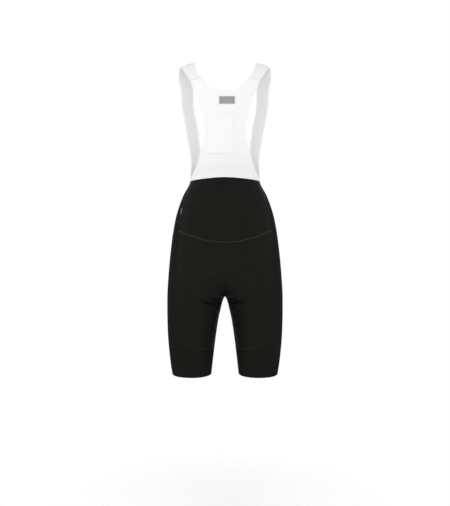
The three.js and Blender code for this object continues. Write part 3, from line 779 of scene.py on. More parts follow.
# %% Bib and pocket mesh
BIB_MESH = cloth_material(
    "bib_mesh_finish", (0.93, 0.93, 0.93), (0.84, 0.84, 0.84), MESH_HOLES,
    {"Pitch": 0.0018}, 0.00018, 0.85, patches=0.10, ribs=0.09, hem=(0.97, 0.97, 0.97),
    Specular_IOR_Level=0.2,
)
POCKET_MESH = cloth_material(
    "pocket_mesh_finish", (0.93, 0.93, 0.93), (0.845, 0.845, 0.845), MESH_HOLES,
    {"Pitch": 0.0015}, 0.00014, 0.85, patches=0.10, Specular_IOR_Level=0.2,
)
print("white meshes:", BIB_MESH.name, POCKET_MESH.name)

# %% [markdown]
# ### Tab and pad
# The small side tab is a smooth woven ribbon with a slight shine. The face of the pad is a brushed
# knit, whose raised fibres catch light at a low angle. Fur would show that close up, but the pad is
# seen only from inside, so a little sheen on the shader does the same for almost nothing.

# %% Tab cloth and pad face
TAB_CLOTH = cloth_material(
    "tab_cloth_finish", (0.085, 0.069, 0.074), (0.056, 0.046, 0.049), KNIT_LOOPS,
    {"Loop Width": 0.0005, "Loop Height": 0.0004}, 0.00004, 0.45, Specular_IOR_Level=0.4,
)
PAD_FACE = cloth_material(
    "pad_face_finish", (0.055, 0.055, 0.060), (0.035, 0.035, 0.038), KNIT_LOOPS,
    {"Loop Width": 0.0007, "Loop Height": 0.0005}, 0.00008, 0.9, patches=0.5,
    Specular_IOR_Level=0.15, Sheen_Weight=0.3, Sheen_Roughness=0.6,
)
print("small cloths:", TAB_CLOTH.name, PAD_FACE.name)

# %% [markdown]
# ### Label
# The woven label is plain grey with four darker stripes along it. An image could be put on it, but
# stripes are simple: the distance from the middle of the label and a repeating count down it say where
# a stripe is, so they stay sharp at any distance.

# %% Label cloth
LABEL_WIDTH, LABEL_HEIGHT = 0.0455, 0.0222
LABEL_ROWS, LABEL_ROW_PITCH, LABEL_FIRST_ROW = 4, 0.0044, 0.55
LABEL_ROW_SHARE, LABEL_ROW_LENGTH = 0.5, 0.040
LABEL_GREY, LABEL_STRIPE = (0.385, 0.385, 0.388), (0.245, 0.245, 0.248)
LABEL_ROUGHNESS, LABEL_SHINE = 0.7, 0.3


def make_label_cloth():
    """Grey woven label with four plain darker stripes along it."""
    material, tree, shader = new_material(
        "label_cloth_finish", LABEL_ROUGHNESS, Specular_IOR_Level=LABEL_SHINE
    )
    uv = add_node(tree, "ShaderNodeUVMap", uv_map="cloth").outputs[0]
    place = add_node(tree, "ShaderNodeSeparateXYZ", {0: uv}).outputs
    rows = maths(tree, "MULTIPLY_ADD", place["Y"], -1 / LABEL_ROW_PITCH, -LABEL_FIRST_ROW)
    in_row = maths(tree, "LESS_THAN", maths(tree, "PINGPONG", rows, 0.5), LABEL_ROW_SHARE / 2)
    across = maths(tree, "ABSOLUTE", maths(tree, "SUBTRACT", place["X"], LABEL_WIDTH / 2))
    in_width = maths(tree, "LESS_THAN", across, LABEL_ROW_LENGTH / 2)
    down = maths(tree, "ABSOLUTE", maths(tree, "ADD", place["Y"], LABEL_HEIGHT / 2))
    in_height = maths(tree, "LESS_THAN", down, LABEL_ROWS * LABEL_ROW_PITCH / 2)
    striped = maths(tree, "MULTIPLY", maths(tree, "MULTIPLY", in_row, in_width), in_height)
    colour = blend_colours(tree, striped, LABEL_GREY, LABEL_STRIPE)
    tree.links.new(colour, shader.inputs["Base Color"])
    return material


LABEL_CLOTH = make_label_cloth()
print("label:", LABEL_ROWS, "stripes", round(LABEL_ROW_LENGTH * 1000), "mm long")

# %% [markdown]
# ## Cross ribs
# The leg piece is knitted with a fine rib every few millimetres round the leg, and the mesh has fainter
# ones. A bump map could suggest them, but ribs catch the light at the outline, so they are real relief.
# A Geometry Nodes tree raises the points along their normals by a wave of the distance down the cloth.
# Every point carries where it lies (rib_place) and how strong the rib is there (rib_share). The tree also
# stores how far each point lies between two ribs, and the finish paints shade there.

# %% Steps of a Geometry Nodes tree
def read_points(tree, name, kind="FLOAT"):
    """A value or a vector that the points carry into a tree."""
    return add_node(tree, "GeometryNodeInputNamedAttribute", {"Name": name}, data_type=kind).outputs[0]


def move_out(tree, shape, outwards, distance):
    """Moves points by a distance, each in its own outward direction."""
    offset = add_node(tree, "ShaderNodeVectorMath", {0: outwards, "Scale": distance}, operation="SCALE")
    to_move = {"Geometry": shape, "Offset": offset.outputs[0]}
    return add_node(tree, "GeometryNodeSetPosition", to_move).outputs[0]


def end_tree(tree, shape, material, result):
    """The last steps of every tree: instances become real faces, and the faces get their material."""
    real = add_node(tree, "GeometryNodeRealizeInstances", {0: shape})
    to_paint = {"Geometry": real.outputs[0], "Material": material}
    tree.links.new(add_node(tree, "GeometryNodeSetMaterial", to_paint).outputs[0], result)


print("node groups so far:", [tree.name for tree in bpy.data.node_groups])

# %% Waves of the ribs
RIB_PITCH = 0.0063


def rib_waves(tree, given):
    """How far each point rises on a rib, and how much painted shade it gets between two ribs."""
    place, share = read_points(tree, "rib_place"), read_points(tree, "rib_share")
    turns = maths(tree, "MULTIPLY", maths(tree, "DIVIDE", place, given["Pitch"]), math.tau)
    wave = maths(tree, "MULTIPLY_ADD", maths(tree, "COSINE", turns), 0.5, 0.5)
    narrow = maths(tree, "POWER", wave, given["Narrowness"])
    height = maths(tree, "MULTIPLY", maths(tree, "MULTIPLY", narrow, share), given["Height"])
    on_rib = maths(tree, "MULTIPLY", narrow, maths(tree, "SUBTRACT", 1.0, given["Evenness"]))
    return height, maths(tree, "MULTIPLY", maths(tree, "SUBTRACT", 1.0, on_rib), share)


print("ribs lie", RIB_PITCH * 1000, "mm apart unless told otherwise")

# %% Node tree for ribs
def make_rib_tree():
    """Moves the points out to their ribs and stores how much shade the finish paints on the points between
    two.
    """
    tree, given, result = new_group(
        "cross_ribs", "GeometryNodeTree",
        [("Cloth", SHAPE, None), ("Pitch", FLOAT, RIB_PITCH), ("Height", FLOAT, 0.0002),
         ("Narrowness", FLOAT, 2.0), ("Evenness", FLOAT, 0.0), ("Material", MATERIAL, None)],
        [("Cloth", SHAPE)],
    )
    height, between = rib_waves(tree, given)
    kept = add_node(
        tree, "GeometryNodeStoreNamedAttribute",
        {"Geometry": given["Cloth"], "Name": "rib_valley_shade", "Value": between},
        data_type="FLOAT", domain="POINT",
    )
    outwards = read_points(tree, "outwards", "FLOAT_VECTOR")
    moved = move_out(tree, kept.outputs[0], outwards, height)
    end_tree(tree, moved, given["Material"], result["Cloth"])
    return tree


RIB_TREE = make_rib_tree()
print("rib tree:", len(RIB_TREE.nodes), "nodes")

# %% Running a tree
def run_tree(piece, tree, inputs):
    """Runs a Geometry Nodes tree on a piece and keeps the result as its plain mesh."""
    modifier = piece.modifiers.new(tree.name, "NODES")
    modifier.node_group = tree
    for socket in tree.interface.items_tree:
        if socket.in_out == "INPUT" and socket.name in inputs:
            modifier[socket.identifier] = inputs[socket.name]
    graph = bpy.context.evaluated_depsgraph_get()
    made = bpy.data.meshes.new_from_object(
        piece.evaluated_get(graph), preserve_all_data_layers=True, depsgraph=graph
    )
    piece.modifiers.remove(modifier)
    old, piece.data = piece.data, made
    made.name = piece.name
    bpy.data.meshes.remove(old)
    return piece


print("inputs of the rib tree:", sum(socket.in_out == "INPUT" for socket in RIB_TREE.interface.items_tree))

# %% Raised ribs
USED_UP = ("outwards", "rib_place", "rib_share")


def raise_ribs(piece, height, narrowness, pitch=RIB_PITCH, evenness=0.0):
    """Raises the ribs of a piece. evenness is how much of the painted shade between the ribs the crest of a
    rib keeps.
    """
    sizes = {
        "Pitch": pitch, "Height": height, "Narrowness": narrowness, "Evenness": evenness,
        "Material": piece.data.materials[0],
    }
    run_tree(piece, RIB_TREE, sizes)
    for name in USED_UP:
        piece.data.attributes.remove(piece.data.attributes[name])
    piece.data.set_sharp_from_angle(angle=SHARP_ANGLE)
    return piece


print("values that end with the ribs:", USED_UP)

# %% [markdown]
# ## The black shorts
# Five kinds of pieces make the shorts: a yoke at the upper back, one seat piece that runs down the backs
# of both thighs, a left and a right piece for the sides and the front, and a band at each hem. All of
# them share one net of rows and columns, so neighbours meet along the same seam line.

# %% Seams of the shorts
SHORTS_WALL = 0.0012
WAIST_FRONT, WAIST_SIDE, WAIST_BACK = -0.372, -0.354, -0.347
YOKE_MIDDLE, YOKE_SIDE, YOKE_HALF = -0.536, -0.505, 0.130
CROTCH_SIDE = -0.690
SEAT_HEM_INNER, SEAT_HEM_CORNER, SEAT_CORNER_SHARPNESS = -0.848, -0.833, 4
HEM, HEM_DROP_BACK, BAND_HEIGHT = -0.927, 0.005, 0.032
FRONT_SHARE = 15 / 23
CUFF_SHARE = 0.6
SIDE_SEAM = table(
    "z inset",
    (-0.354, 0.0000), (-0.378, 0.0030), (-0.405, 0.0070), (-0.446, 0.0130), (-0.508, 0.0200),
    (-0.541, 0.0235), (-0.599, 0.0280), (-0.666, 0.0315), (-0.722, 0.0300), (-0.763, 0.0285),
    (-0.790, 0.0295), (-0.808, 0.0325), (-0.822, 0.0380), (-0.833, 0.0475),
)


def side_seam_at(z):
    """How far round the side seam lies at a level."""
    return around_at(at_level(OUTLINE, "half", z) - at_level(SIDE_SEAM, "inset", z), z)


def hem_level(around):
    """Level of the hem, a little lower at the back of the leg than in front."""
    return HEM - HEM_DROP_BACK * np.sin(math.pi * around)


print("side seam at the hips:", side_seam_at(-0.666).round(3), "of the way to the middle back")

# %% [markdown]
# ### Rows and places
# Each piece is a net: rows from its top seam to its bottom seam, and columns between its side seams. The
# seams curve, so a row is a level that changes between the side and the middle. Rows crowd together
# where the form bends most, at the crotch, so that the net stays smooth there without many more faces.

# %% Rows of the shorts
THIGH_CROWDING = 1.6


def yoke_rows(shares):
    """Levels from the waist to the yoke seam, at the middle back, the side and the middle front."""
    return {
        "back": mix(WAIST_BACK, YOKE_MIDDLE, shares), "side": mix(WAIST_SIDE, YOKE_SIDE, shares),
        "front": mix(WAIST_FRONT, YOKE_MIDDLE, shares),
    }


def seat_rows(hips, curve, thigh):
    """Levels from the yoke seam to the seat hem. Rows crowd together at the crotch."""
    turn = CROTCH + CROTCH_CURVE
    above_crotch = np.concatenate([
        mix(YOKE_MIDDLE, turn, hips[:-1]), CROTCH + CROTCH_CURVE * (1 - np.sin(curve[:-1] * math.pi / 2))
    ])
    down = thigh ** THIGH_CROWDING
    side = np.concatenate([
        mix(YOKE_SIDE, CROTCH_SIDE, share_of(above_crotch, YOKE_MIDDLE, CROTCH)),
        mix(CROTCH_SIDE, SEAT_HEM_CORNER, down),
    ])
    middle = np.concatenate([above_crotch, mix(CROTCH, SEAT_HEM_INNER, down)])
    return {"back": middle, "side": side, "front": middle}


print("levels of the yoke:", WAIST_BACK, "to", YOKE_MIDDLE)

# %% Places of the back and of the front
def back_places(levels, shares, start_curve, end_curve, change):
    """Places of the back between the side seam (share 0) and the middle (share 1)."""
    around = mix(side_seam_at(levels["side"])[None, :], 1, shares[:, None])
    yoke_curve = np.clip(1 - (across_at(around, YOKE_MIDDLE) / YOKE_HALF) ** 2, 0, 1)
    curves = {
        "waist": ease(shares)[:, None], "yoke": yoke_curve,
        "hem": (1 - (1 - shares) ** SEAT_CORNER_SHARPNESS)[:, None],
    }
    shape = mix(curves[start_curve], curves[end_curve], change[None, :])
    return around, mix(levels["side"][None, :], levels["back"][None, :], shape)


def front_places(levels, shares):
    """Places of the front between the middle or the inseam (share 0) and the side seam (share 1)."""
    around = mix(-1, side_seam_at(levels["side"])[None, :], shares[:, None])
    return around, mix(levels["front"][None, :], levels["side"][None, :], ease(shares)[:, None])


def both_sides(places):
    """The grids of a piece on the left and on the right of the middle."""
    return [grid(form_point(*places, side), side, middle=-1) for side, _ in SIDES]


print("the seat turns at the crotch between", round(CROTCH + CROTCH_CURVE, 3), "and", CROTCH)

# %% [markdown]
# ### Yoke and seat
# The yoke is the upper back, from the waist to a shallow curved seam. Below it one seat piece covers the
# seat and the backs of both thighs, with rounded lower corners. They could be cut out of one surface
# with a knife. Here their nets simply end at the same curve, which leaves a clean seam between them.

# %% Nets of the yoke and the seat
SEAT_COLUMNS, YOKE_ROWS, HIP_ROWS, CURVE_ROWS, THIGH_ROWS = 36, 40, 20, 44, 84
SEAT_NEAR, YOKE_NEAR, HIP_NEAR, THIGH_NEAR = 0.0066, 0.0060, 0.0130, 0.0045

seat_shares = lines(SEAT_COLUMNS, SEAT_NEAR, SEAT_NEAR)
yoke_shares = lines(YOKE_ROWS, YOKE_NEAR, YOKE_NEAR)
yoke_levels = yoke_rows(yoke_shares)
yoke_places = back_places(yoke_levels, seat_shares, "waist", "yoke", yoke_shares)
seat_levels = seat_rows(lines(HIP_ROWS, HIP_NEAR), lines(CURVE_ROWS), lines(THIGH_ROWS, 0, THIGH_NEAR))
seat_change = share_of(seat_levels["side"], YOKE_SIDE, SEAT_HEM_CORNER)
seat_places = back_places(seat_levels, seat_shares, "yoke", "hem", seat_change)
yoke_grids, seat_grids = both_sides(yoke_places), both_sides(seat_places)
print("points of half a seat:", seat_grids[0]["points"].shape[:2])

# %% [markdown]
# ### Outline of the pad
# The pad inside the seat presses its edge through the cloth, and its seam is seen from outside as an arch
# with a lower curve on each thigh. A bump could draw it, but the cloth really stands proud by almost
# a millimetre, so the outline is a line of points on the back, and what lies inside it is lifted.

# %% Outline of the pad
PAD_BACK_EDGE = {
    "top": table("x z", (0, -0.617), (0.018, -0.618), (0.034, -0.621), (0.050, -0.627), (0.064, -0.634)),
    "outer": table(
        "x z", (0.064, -0.634), (0.082, -0.652), (0.089, -0.676), (0.085, -0.698), (0.072, -0.714)
    ),
}
PAD_BOTTOM, PAD_SEWN_BOTTOM = -0.750, -0.762
OUTLINE_STEPS, OUTLINE_SPAN_STEPS = 16, 10


def pad_outline():
    """The back edge of the pad as seen from behind, from the middle out and down to the inseam."""
    corner_x, corner_z = (PAD_BACK_EDGE["outer"][key][-1] for key in ("x", "z"))
    down = np.linspace(1, 0, OUTLINE_STEPS)
    around = mix(1, around_at(corner_x, corner_z), down)
    z = mix(PAD_SEWN_BOTTOM, corner_z, down)
    bottom = np.stack([across_at(around, z), z], -1)
    top, outer = (np.stack([edge["x"], edge["z"]], -1) for edge in PAD_BACK_EDGE.values())
    upper = smooth_path(np.concatenate([top, outer[1:]]), OUTLINE_SPAN_STEPS)
    return np.concatenate([upper, bottom[1:]])


outline = pad_outline()
print("outline of the pad:", len(outline), "points, half width", outline[:, 0].max().round(3), "m")

# %% Relief of the pad
PAD_RELIEF, PAD_RELIEF_EDGE = 0.0009, 0.007


def relief(points, line=outline):
    """How far the pad behind the seat lifts the cloth: nothing outside its outline."""
    x, z = np.abs(points[..., 0]), points[..., 2]
    gaps = np.hypot(x[..., None] - line[:, 0], z[..., None] - line[:, 1]).min(-1)
    centre_z = mix(line[0, 1], PAD_BOTTOM, 0.5)
    reach = np.hypot(line[:, 0], line[:, 1] - centre_z)
    turn = np.arctan2(line[:, 0], line[:, 1] - centre_z)
    edge = np.interp(np.arctan2(x, z - centre_z), turn, reach)
    inside = np.hypot(x, z - centre_z) < edge
    return PAD_RELIEF * ease(share_of(gaps * inside, 0, PAD_RELIEF_EDGE))


for seat_grid in seat_grids:
    seat_grid["proud"] = relief(seat_grid["points"])
print("cloth over the pad stands proud by", (seat_grids[0]["proud"].max() * 1000).round(2), "mm")

# %% Walls of the yoke and the seat
SEAT_ROLL, SEAT_GAP = 0.0005, 0.0006

back_yoke, yoke_area = cloth_wall("back_yoke_cloth", yoke_grids, SHORTS_WALL, SEAT_KNIT)
seat_panel, seat_area = cloth_wall(
    "seat_cloth", seat_grids, SHORTS_WALL, SEAT_KNIT, roll=SEAT_ROLL, gap=SEAT_GAP
)
print("yoke", round(yoke_area, 4), "m2, seat", round(seat_area, 4), "m2")

# %% [markdown]
# ### Side and front pieces
# One ribbed piece on each side covers the side and the front, meets its mirror in the middle of the front,
# and closes into a ring round the lower thigh under the seat piece. It could be two pieces, but the
# photograph shows no seam between them, so it is one wall over two nets that share their border.

# %% Distance from the borders
RIB_EDGE = 0.004


def inset_from(points, sides):
    """Distance of each point of a grid from the nearest of its named borders."""
    across, down = run_lengths(points, 0), run_lengths(points, 1)
    inset = {
        "start": across, "end": across[-1] - across, "top": down, "bottom": down[:, -1:] - down,
    }
    return np.min([inset[name] for name in sides], axis=0)


def border_fade(points, sides, width=RIB_EDGE):
    """1 inside a grid, falling to 0 at the named borders, so that ribs end before a seam."""
    return ease(share_of(inset_from(points, sides), 0, width))


print("ribs end over the last", RIB_EDGE * 1000, "mm before a seam")

# %% Net of the side and the front
FRONT_COLUMNS, LEG_YOKE_ROWS, LEG_HIP_ROWS, LEG_CURVE_ROWS, LEG_THIGH_ROWS = 44, 108, 48, 84, 150
FRONT_NEAR, LEG_WAIST_NEAR = 0.0040, 0.0060


def joined(first, second):
    """Rows of two stretches one after the other, with the row between them once."""
    return {key: np.concatenate([first[key][:-1], second[key]]) for key in first}


front_shares = lines(FRONT_COLUMNS, FRONT_NEAR, FRONT_NEAR)
leg_levels = joined(
    yoke_rows(lines(LEG_YOKE_ROWS, LEG_WAIST_NEAR)),
    seat_rows(lines(LEG_HIP_ROWS), lines(LEG_CURVE_ROWS), lines(LEG_THIGH_ROWS)),
)
leg_places = front_places(leg_levels, front_shares)
print("rows from waist to cuff:", len(leg_levels["side"]))

# %% Net round the lower thigh
CUFF_COLUMNS, CUFF_ROWS, CUFF_NEAR = 24, 32, 0.0200

cuff_back_shares = lines(CUFF_COLUMNS)
hem_end = {key: levels[-1:] for key, levels in leg_levels.items()}
cuff_front = front_places(hem_end, front_shares)
cuff_back = back_places(hem_end, cuff_back_shares, "hem", "hem", np.ones(1))
cuff_top_around, cuff_top_z = (
    np.concatenate([front, back[1:]])[:, 0] for front, back in zip(cuff_front, cuff_back)
)
cuff_columns = np.concatenate([
    front_shares * FRONT_SHARE, FRONT_SHARE + cuff_back_shares[1:] * (1 - FRONT_SHARE)
])


def cuff_around(t):
    """How far round each column of the thigh lies, a share t of the way down to the hem."""
    return mix(cuff_top_around[:, None], (2 * cuff_columns - 1)[:, None], t[None, :])


cuff_shares = lines(CUFF_ROWS, CUFF_NEAR)
cuff_round = cuff_around(CUFF_SHARE * cuff_shares)
cuff_z = mix(cuff_top_z[:, None], hem_level(cuff_round) + BAND_HEIGHT, cuff_shares[None, :])
print("columns round the thigh:", len(cuff_columns))

# %% [markdown]
# ### Hem bands
# A plain band is sewn to the lower edge of each leg and grips the thigh. A turned hem would look the same
# from afar, but the band is a cloth of its own in the photograph, smoother and without ribs, so it is
# its own ring of wall under the ribbed one.

# %% Net of a hem band
BAND_ROWS, BAND_NEAR = 12, 0.0300

band_shares = lines(BAND_ROWS, BAND_NEAR, BAND_NEAR)
band_round = cuff_around(mix(CUFF_SHARE, 1, band_shares))
band_z = hem_level(band_round) + BAND_HEIGHT * (1 - band_shares[None, :])
print("hem band:", BAND_HEIGHT * 1000, "mm high")

# %% Walls of the legs and the bands
LEG_RIB_HEIGHT, LEG_RIB_NARROWNESS = 0.00028, 3.0

legs, bands, leg_grids, band_grids = {}, {}, {}, {}
for side, name in SIDES:
    upper = form_point(*leg_places, side)
    cuff = form_point(cuff_round, cuff_z, side)
    cuff_rib_place = -cuff_z + (hem_level(cuff_round) - HEM) * cuff_shares[None, :]
    on_back = (cuff_columns > FRONT_SHARE)[:, None]
    cuff_fade = mix(1, border_fade(cuff, ["top"]), on_back) * border_fade(cuff, ["bottom"])
    leg_grids[name] = [
        grid(upper, side, 0, place=-leg_places[1], share=border_fade(upper, ["start", "end", "top"])),
        grid(cuff, side, 0, place=cuff_rib_place, share=cuff_fade),
    ]
    band_grids[name] = grid(form_point(band_round, band_z, side), side)
    legs[name], leg_area = cloth_wall(f"leg_{name}_cloth", leg_grids[name], SHORTS_WALL, SIDE_KNIT)
    raise_ribs(legs[name], LEG_RIB_HEIGHT, LEG_RIB_NARROWNESS)
    band_grid = [band_grids[name]]
    bands[name], band_area = cloth_wall(f"leg_band_{name}_cloth", band_grid, SHORTS_WALL, BAND_KNIT)
print("leg", round(leg_area, 4), "m2, band", round(band_area, 4), "m2")

# %% [markdown]
# ## The white bib
# The bib back is one piece of mesh: full width at the waist, narrow between the shoulders, with a round
# neckline. A strap is sewn to it behind each shoulder, goes over the shoulder and comes down the front
# to the waist. The back lies on the form. Over the shoulder the strap leaves it, so that stretch is a
# smooth curve through a short table of points, the same way a tape is bent over an edge.

# %% Edges of the bib back
BIB_WALL = 0.0010
NECK_BOTTOM, NECK_TOP, NECK_HALF, NECK_ROUNDNESS = -0.095, -0.0575, 0.0675, 2.6
SHOULDER_X, SHOULDER_Z = 0.101, -0.066
ARMHOLE_BOTTOM = -0.341
STRAP_START = 0.5
ARMHOLE = table(
    "z x",
    (-0.066, 0.1010), (-0.095, 0.0900), (-0.118, 0.0815), (-0.145, 0.0750), (-0.174, 0.0690),
    (-0.206, 0.0655), (-0.237, 0.0658), (-0.262, 0.0700), (-0.288, 0.0760), (-0.311, 0.0835),
    (-0.327, 0.0915), (-0.336, 0.0980), (-0.341, 0.1040),
)


def waist_level(around):
    """Level of the waist seam all the way round."""
    end = np.where(around < 0, WAIST_FRONT, WAIST_BACK)
    return mix(WAIST_SIDE, end, ease(np.abs(around)))


def bib_top(t):
    """Top edge of the bib back from the middle (0) outwards: the neckline, then the shoulder seam."""
    neck = t / STRAP_START
    seam = share_of(t, STRAP_START, 1)
    x = np.where(t <= STRAP_START, NECK_HALF * neck, mix(NECK_HALF, SHOULDER_X, seam))
    z = np.where(
        t <= STRAP_START, mix(NECK_BOTTOM, NECK_TOP, np.minimum(neck, 1) ** NECK_ROUNDNESS),
        mix(NECK_TOP, SHOULDER_Z, seam),
    )
    return x, z


print("neckline:", NECK_HALF * 2, "m wide,", round(NECK_TOP - NECK_BOTTOM, 4), "m deep")

# %% [markdown]
# ### Bib back
# The bib back has four curved edges: the neckline with the shoulder seams, the waist, and an armhole on
# each side. It could be sculpted, but a net can be made to fit four given edges exactly: it adds the blend
# between top and bottom to the blend between the sides, and takes away what was counted twice.

# %% Outer edge of the bib back
ARMHOLE_ROWS, BIB_FOOT_ROWS, ARMHOLE_SPAN_STEPS = 156, 8, 24
BIB_TOP_NEAR, BIB_FOOT_NEAR = 0.004, 0.08

armhole_line = form_point(around_at(ARMHOLE["x"], ARMHOLE["z"]), ARMHOLE["z"])
armhole_path = smooth_path(armhole_line, ARMHOLE_SPAN_STEPS)
armhole_length = run_lengths(armhole_path[:, None], 0)[-1, 0]
armhole_shares = lines(ARMHOLE_ROWS, BIB_TOP_NEAR)
armhole_points = evenly(armhole_path, armhole_shares)
armhole_around = around_at(armhole_points[:, 0], armhole_points[:, 2])
armhole_around[-1] = 0
foot_shares = lines(BIB_FOOT_ROWS, 0, BIB_FOOT_NEAR)[1:]
foot_length = ARMHOLE_BOTTOM - WAIST_SIDE
edge_around = np.concatenate([armhole_around, np.zeros(len(foot_shares))])
edge_z = np.concatenate([armhole_points[:, 2], mix(ARMHOLE_BOTTOM, WAIST_SIDE, foot_shares)])
edge_down = np.concatenate([armhole_shares * armhole_length, armhole_length + foot_shares * foot_length])
edge_down = edge_down / edge_down[-1]
print("armhole:", armhole_length.round(3), "m down the bib back")

# %% Net of the bib back
BIB_COLUMNS, BIB_NEAR = 36, 0.011


def bib_column(t):
    """Places down one column of the bib back, t from the middle (0) to the outer edge (1)."""
    top_x, top_z = bib_top(t)
    top_around = around_at(top_x, top_z)
    foot_z = waist_level(1 - t)
    across = mix(top_around, 1 - t, edge_down) + mix(1, edge_around, t)
    around = across - mix(mix(1, edge_around[0], t), mix(1, 0, t), edge_down)
    level = mix(top_z, foot_z, edge_down) + mix(mix(NECK_BOTTOM, WAIST_BACK, edge_down), edge_z, t)
    return around, level - mix(mix(NECK_BOTTOM, edge_z[0], t), mix(WAIST_BACK, WAIST_SIDE, t), edge_down)


half_shares = np.unique(np.concatenate([lines(BIB_COLUMNS, 0, BIB_NEAR), [STRAP_START]]))
column_shares = np.concatenate([-half_shares[:0:-1], half_shares])
bib_places = [bib_column(abs(t)) for t in column_shares]
bib_points = np.stack([
    form_point(around, z, 1 if t < 0 else -1) for t, (around, z) in zip(column_shares, bib_places)
])
middle_column = len(column_shares) // 2
print("back neck to waist:", run_lengths(bib_points, 1)[middle_column, -1].round(3), "m")

# %% Ribs of the bib back
BIB_RIBS, WAIST_RIBS = 0.10, (-0.262, -0.330)
ALL_BORDERS = ("start", "end", "top", "bottom")

bib_place = np.stack([waist_level(around) - z for around, z in bib_places])
near_waist = share_of(bib_points[..., 2], *WAIST_RIBS)
# The ribs' share also sets how much shade the finish paints between them.
bib_share = mix(BIB_RIBS, 1, ease(near_waist)) * border_fade(bib_points, ALL_BORDERS)
print("ribs grow from", BIB_RIBS, "to 1 between", WAIST_RIBS[0], "and", WAIST_RIBS[1])

# %% [markdown]
# ### Turned edges
# The neckline and the armholes are turned under and sewn down, so the edge is double, a little thicker
# and whiter. A second strip could be laid inside, but it would hardly be seen. Instead the outer face
# steps out by a third of a millimetre there, and a value at each point tells the finish that it is double.

# %% Turned edges of the bib back
HEM_WIDTH, HEM_STEP, HEM_RAISE = 0.0055, 0.0012, 0.00030
ARMHOLE_HEM, ARMHOLE_HEM_LEVELS = 0.0075, (-0.110, -0.215, -0.285)
NARROW_HEM = 0.0012


def within(distance, width):
    """1 nearer to an edge than width, 0 farther away."""
    return ease(share_of(distance, width + HEM_STEP / 2, width - HEM_STEP / 2))


def bib_hems(points):
    """Where the bib back is turned under: the neckline, and the armholes, widest at mid height."""
    top, middle, bottom = ARMHOLE_HEM_LEVELS
    z = points[..., 2]
    swell = ease(share_of(z, top, middle)) * ease(share_of(z, bottom, middle))
    armhole = within(inset_from(points, ["start", "end"]), NARROW_HEM + ARMHOLE_HEM * swell)
    armhole = armhole * (z > ARMHOLE_BOTTOM + HEM_WIDTH)
    neck = within(inset_from(points, ["top"]), HEM_WIDTH) * (np.abs(column_shares) <= STRAP_START)[:, None]
    return np.maximum(armhole, neck)


bib_doubled = bib_hems(bib_points)
print("share of the bib back that is double:", bib_doubled.mean().round(3))

# %% Wall of the bib back
BIB_RIB_HEIGHT, BIB_RIB_NARROWNESS, BIB_RIB_PITCH, BIB_EVENNESS = 0.00012, 1.5, 0.0074, 0.60

bib_grid = grid(
    bib_points, 1, middle_column, place=bib_place, share=bib_share * (1 - bib_doubled),
    doubled=bib_doubled, proud=HEM_RAISE * bib_doubled,
)
bib_back, bib_area = cloth_wall("bib_back_cloth", [bib_grid], BIB_WALL, BIB_MESH)
raise_ribs(bib_back, BIB_RIB_HEIGHT, BIB_RIB_NARROWNESS, BIB_RIB_PITCH, BIB_EVENNESS)
print("bib back:", round(bib_area, 4), "m2")

# %% [markdown]
# ### Straps
# A strap is a tape of the same mesh, about 45 mm wide on top, that widens behind the shoulder and in front.
# A curve object with a flat profile would twist where the tape turns. Here both edges of the tape have
# points of their own, and smooth paths run through them, so its tilt is given at every place.

# %% Edges of the straps
STRAP_TOP = table(
    "out_x out_y out_z in_x in_y in_z",
    (0.114, 0.061, -0.045, 0.0775, 0.066, -0.037),
    (0.125, 0.044, -0.028, 0.0845, 0.050, -0.016),
    (0.132, 0.026, -0.018, 0.0900, 0.029, -0.005),
    (0.136, 0.006, -0.015, 0.0930, 0.007, -0.001),
    (0.140, -0.018, -0.023, 0.0970, -0.020, -0.007),
    (0.142, -0.037, -0.042, 0.0990, -0.049, -0.029),
)
STRAP_FRONT = table(
    "z outer inner",
    (-0.066, -0.22, -0.42), (-0.117, -0.27, -0.49), (-0.170, -0.30, -0.55), (-0.213, -0.28, -0.55),
    (-0.258, -0.25, -0.53), (-0.300, -0.18, -0.52), (-0.324, -0.09, -0.53), (-0.341, 0.0, -0.533),
)
print("strap tops:", STRAP_TOP["in_x"][3], "to", STRAP_TOP["out_x"][3], "m from the middle")

# %% Net of the straps
STRAP_CROWN, STRAP_CROWN_OUTWARDS = 0.0025, 0.3
STRAP_COLUMNS, STRAP_NEAR, STRAP_SPAN_ROWS, STRAP_FOOT_ROWS = 18, 0.022, 24, 8


def strap_points(shares):
    """Points of the left strap: columns from the outer edge (0) to the inner edge (1)."""
    seam_x, seam_z = bib_top(1 - shares * STRAP_START)
    controls = [form_point(around_at(seam_x, seam_z), seam_z)]
    crown = STRAP_CROWN * 4 * shares * (1 - shares)
    for row in range(len(STRAP_TOP["out_x"])):
        x, y, z = (mix(STRAP_TOP[f"out_{k}"][row], STRAP_TOP[f"in_{k}"][row], shares) for k in "xyz")
        controls.append(np.stack([x + crown * STRAP_CROWN_OUTWARDS, y, z + crown], -1))
    for z, outer, inner in zip(*STRAP_FRONT.values()):
        controls.append(form_point(mix(outer, inner, shares), z))
    path = smooth_path(np.stack(controls), STRAP_SPAN_ROWS)
    around = STRAP_FRONT["inner"][-1] * shares
    steps = lines(STRAP_FOOT_ROWS, 0, BIB_FOOT_NEAR)[1:]
    foot = [form_point(around, mix(ARMHOLE_BOTTOM, waist_level(around), step)) for step in steps]
    return np.concatenate([path, foot]).transpose(1, 0, 2)


strap_shares = lines(STRAP_COLUMNS, STRAP_NEAR, STRAP_NEAR)
left_strap_points = strap_points(strap_shares)
strap_length = run_lengths(left_strap_points, 1)[[STRAP_COLUMNS // 2]]
print("strap:", strap_length[0, -1].round(3), "m long")

# %% Ribs and turned edges of the straps
OUTER_HEM = (0.08, 0.11)

strap_place = np.repeat(strap_length, len(strap_shares), axis=0)
strap_share = border_fade(left_strap_points, ALL_BORDERS)
strap_doubled = np.maximum(
    within(inset_from(left_strap_points, ["end"]), HEM_WIDTH),
    within(inset_from(left_strap_points, ["start"]), HEM_WIDTH) * share_of(strap_place, *OUTER_HEM),
)
print("share of a strap that is double:", strap_doubled.mean().round(3))

# %% Walls of the straps
STRAP_RIB_HEIGHT = 0.00017

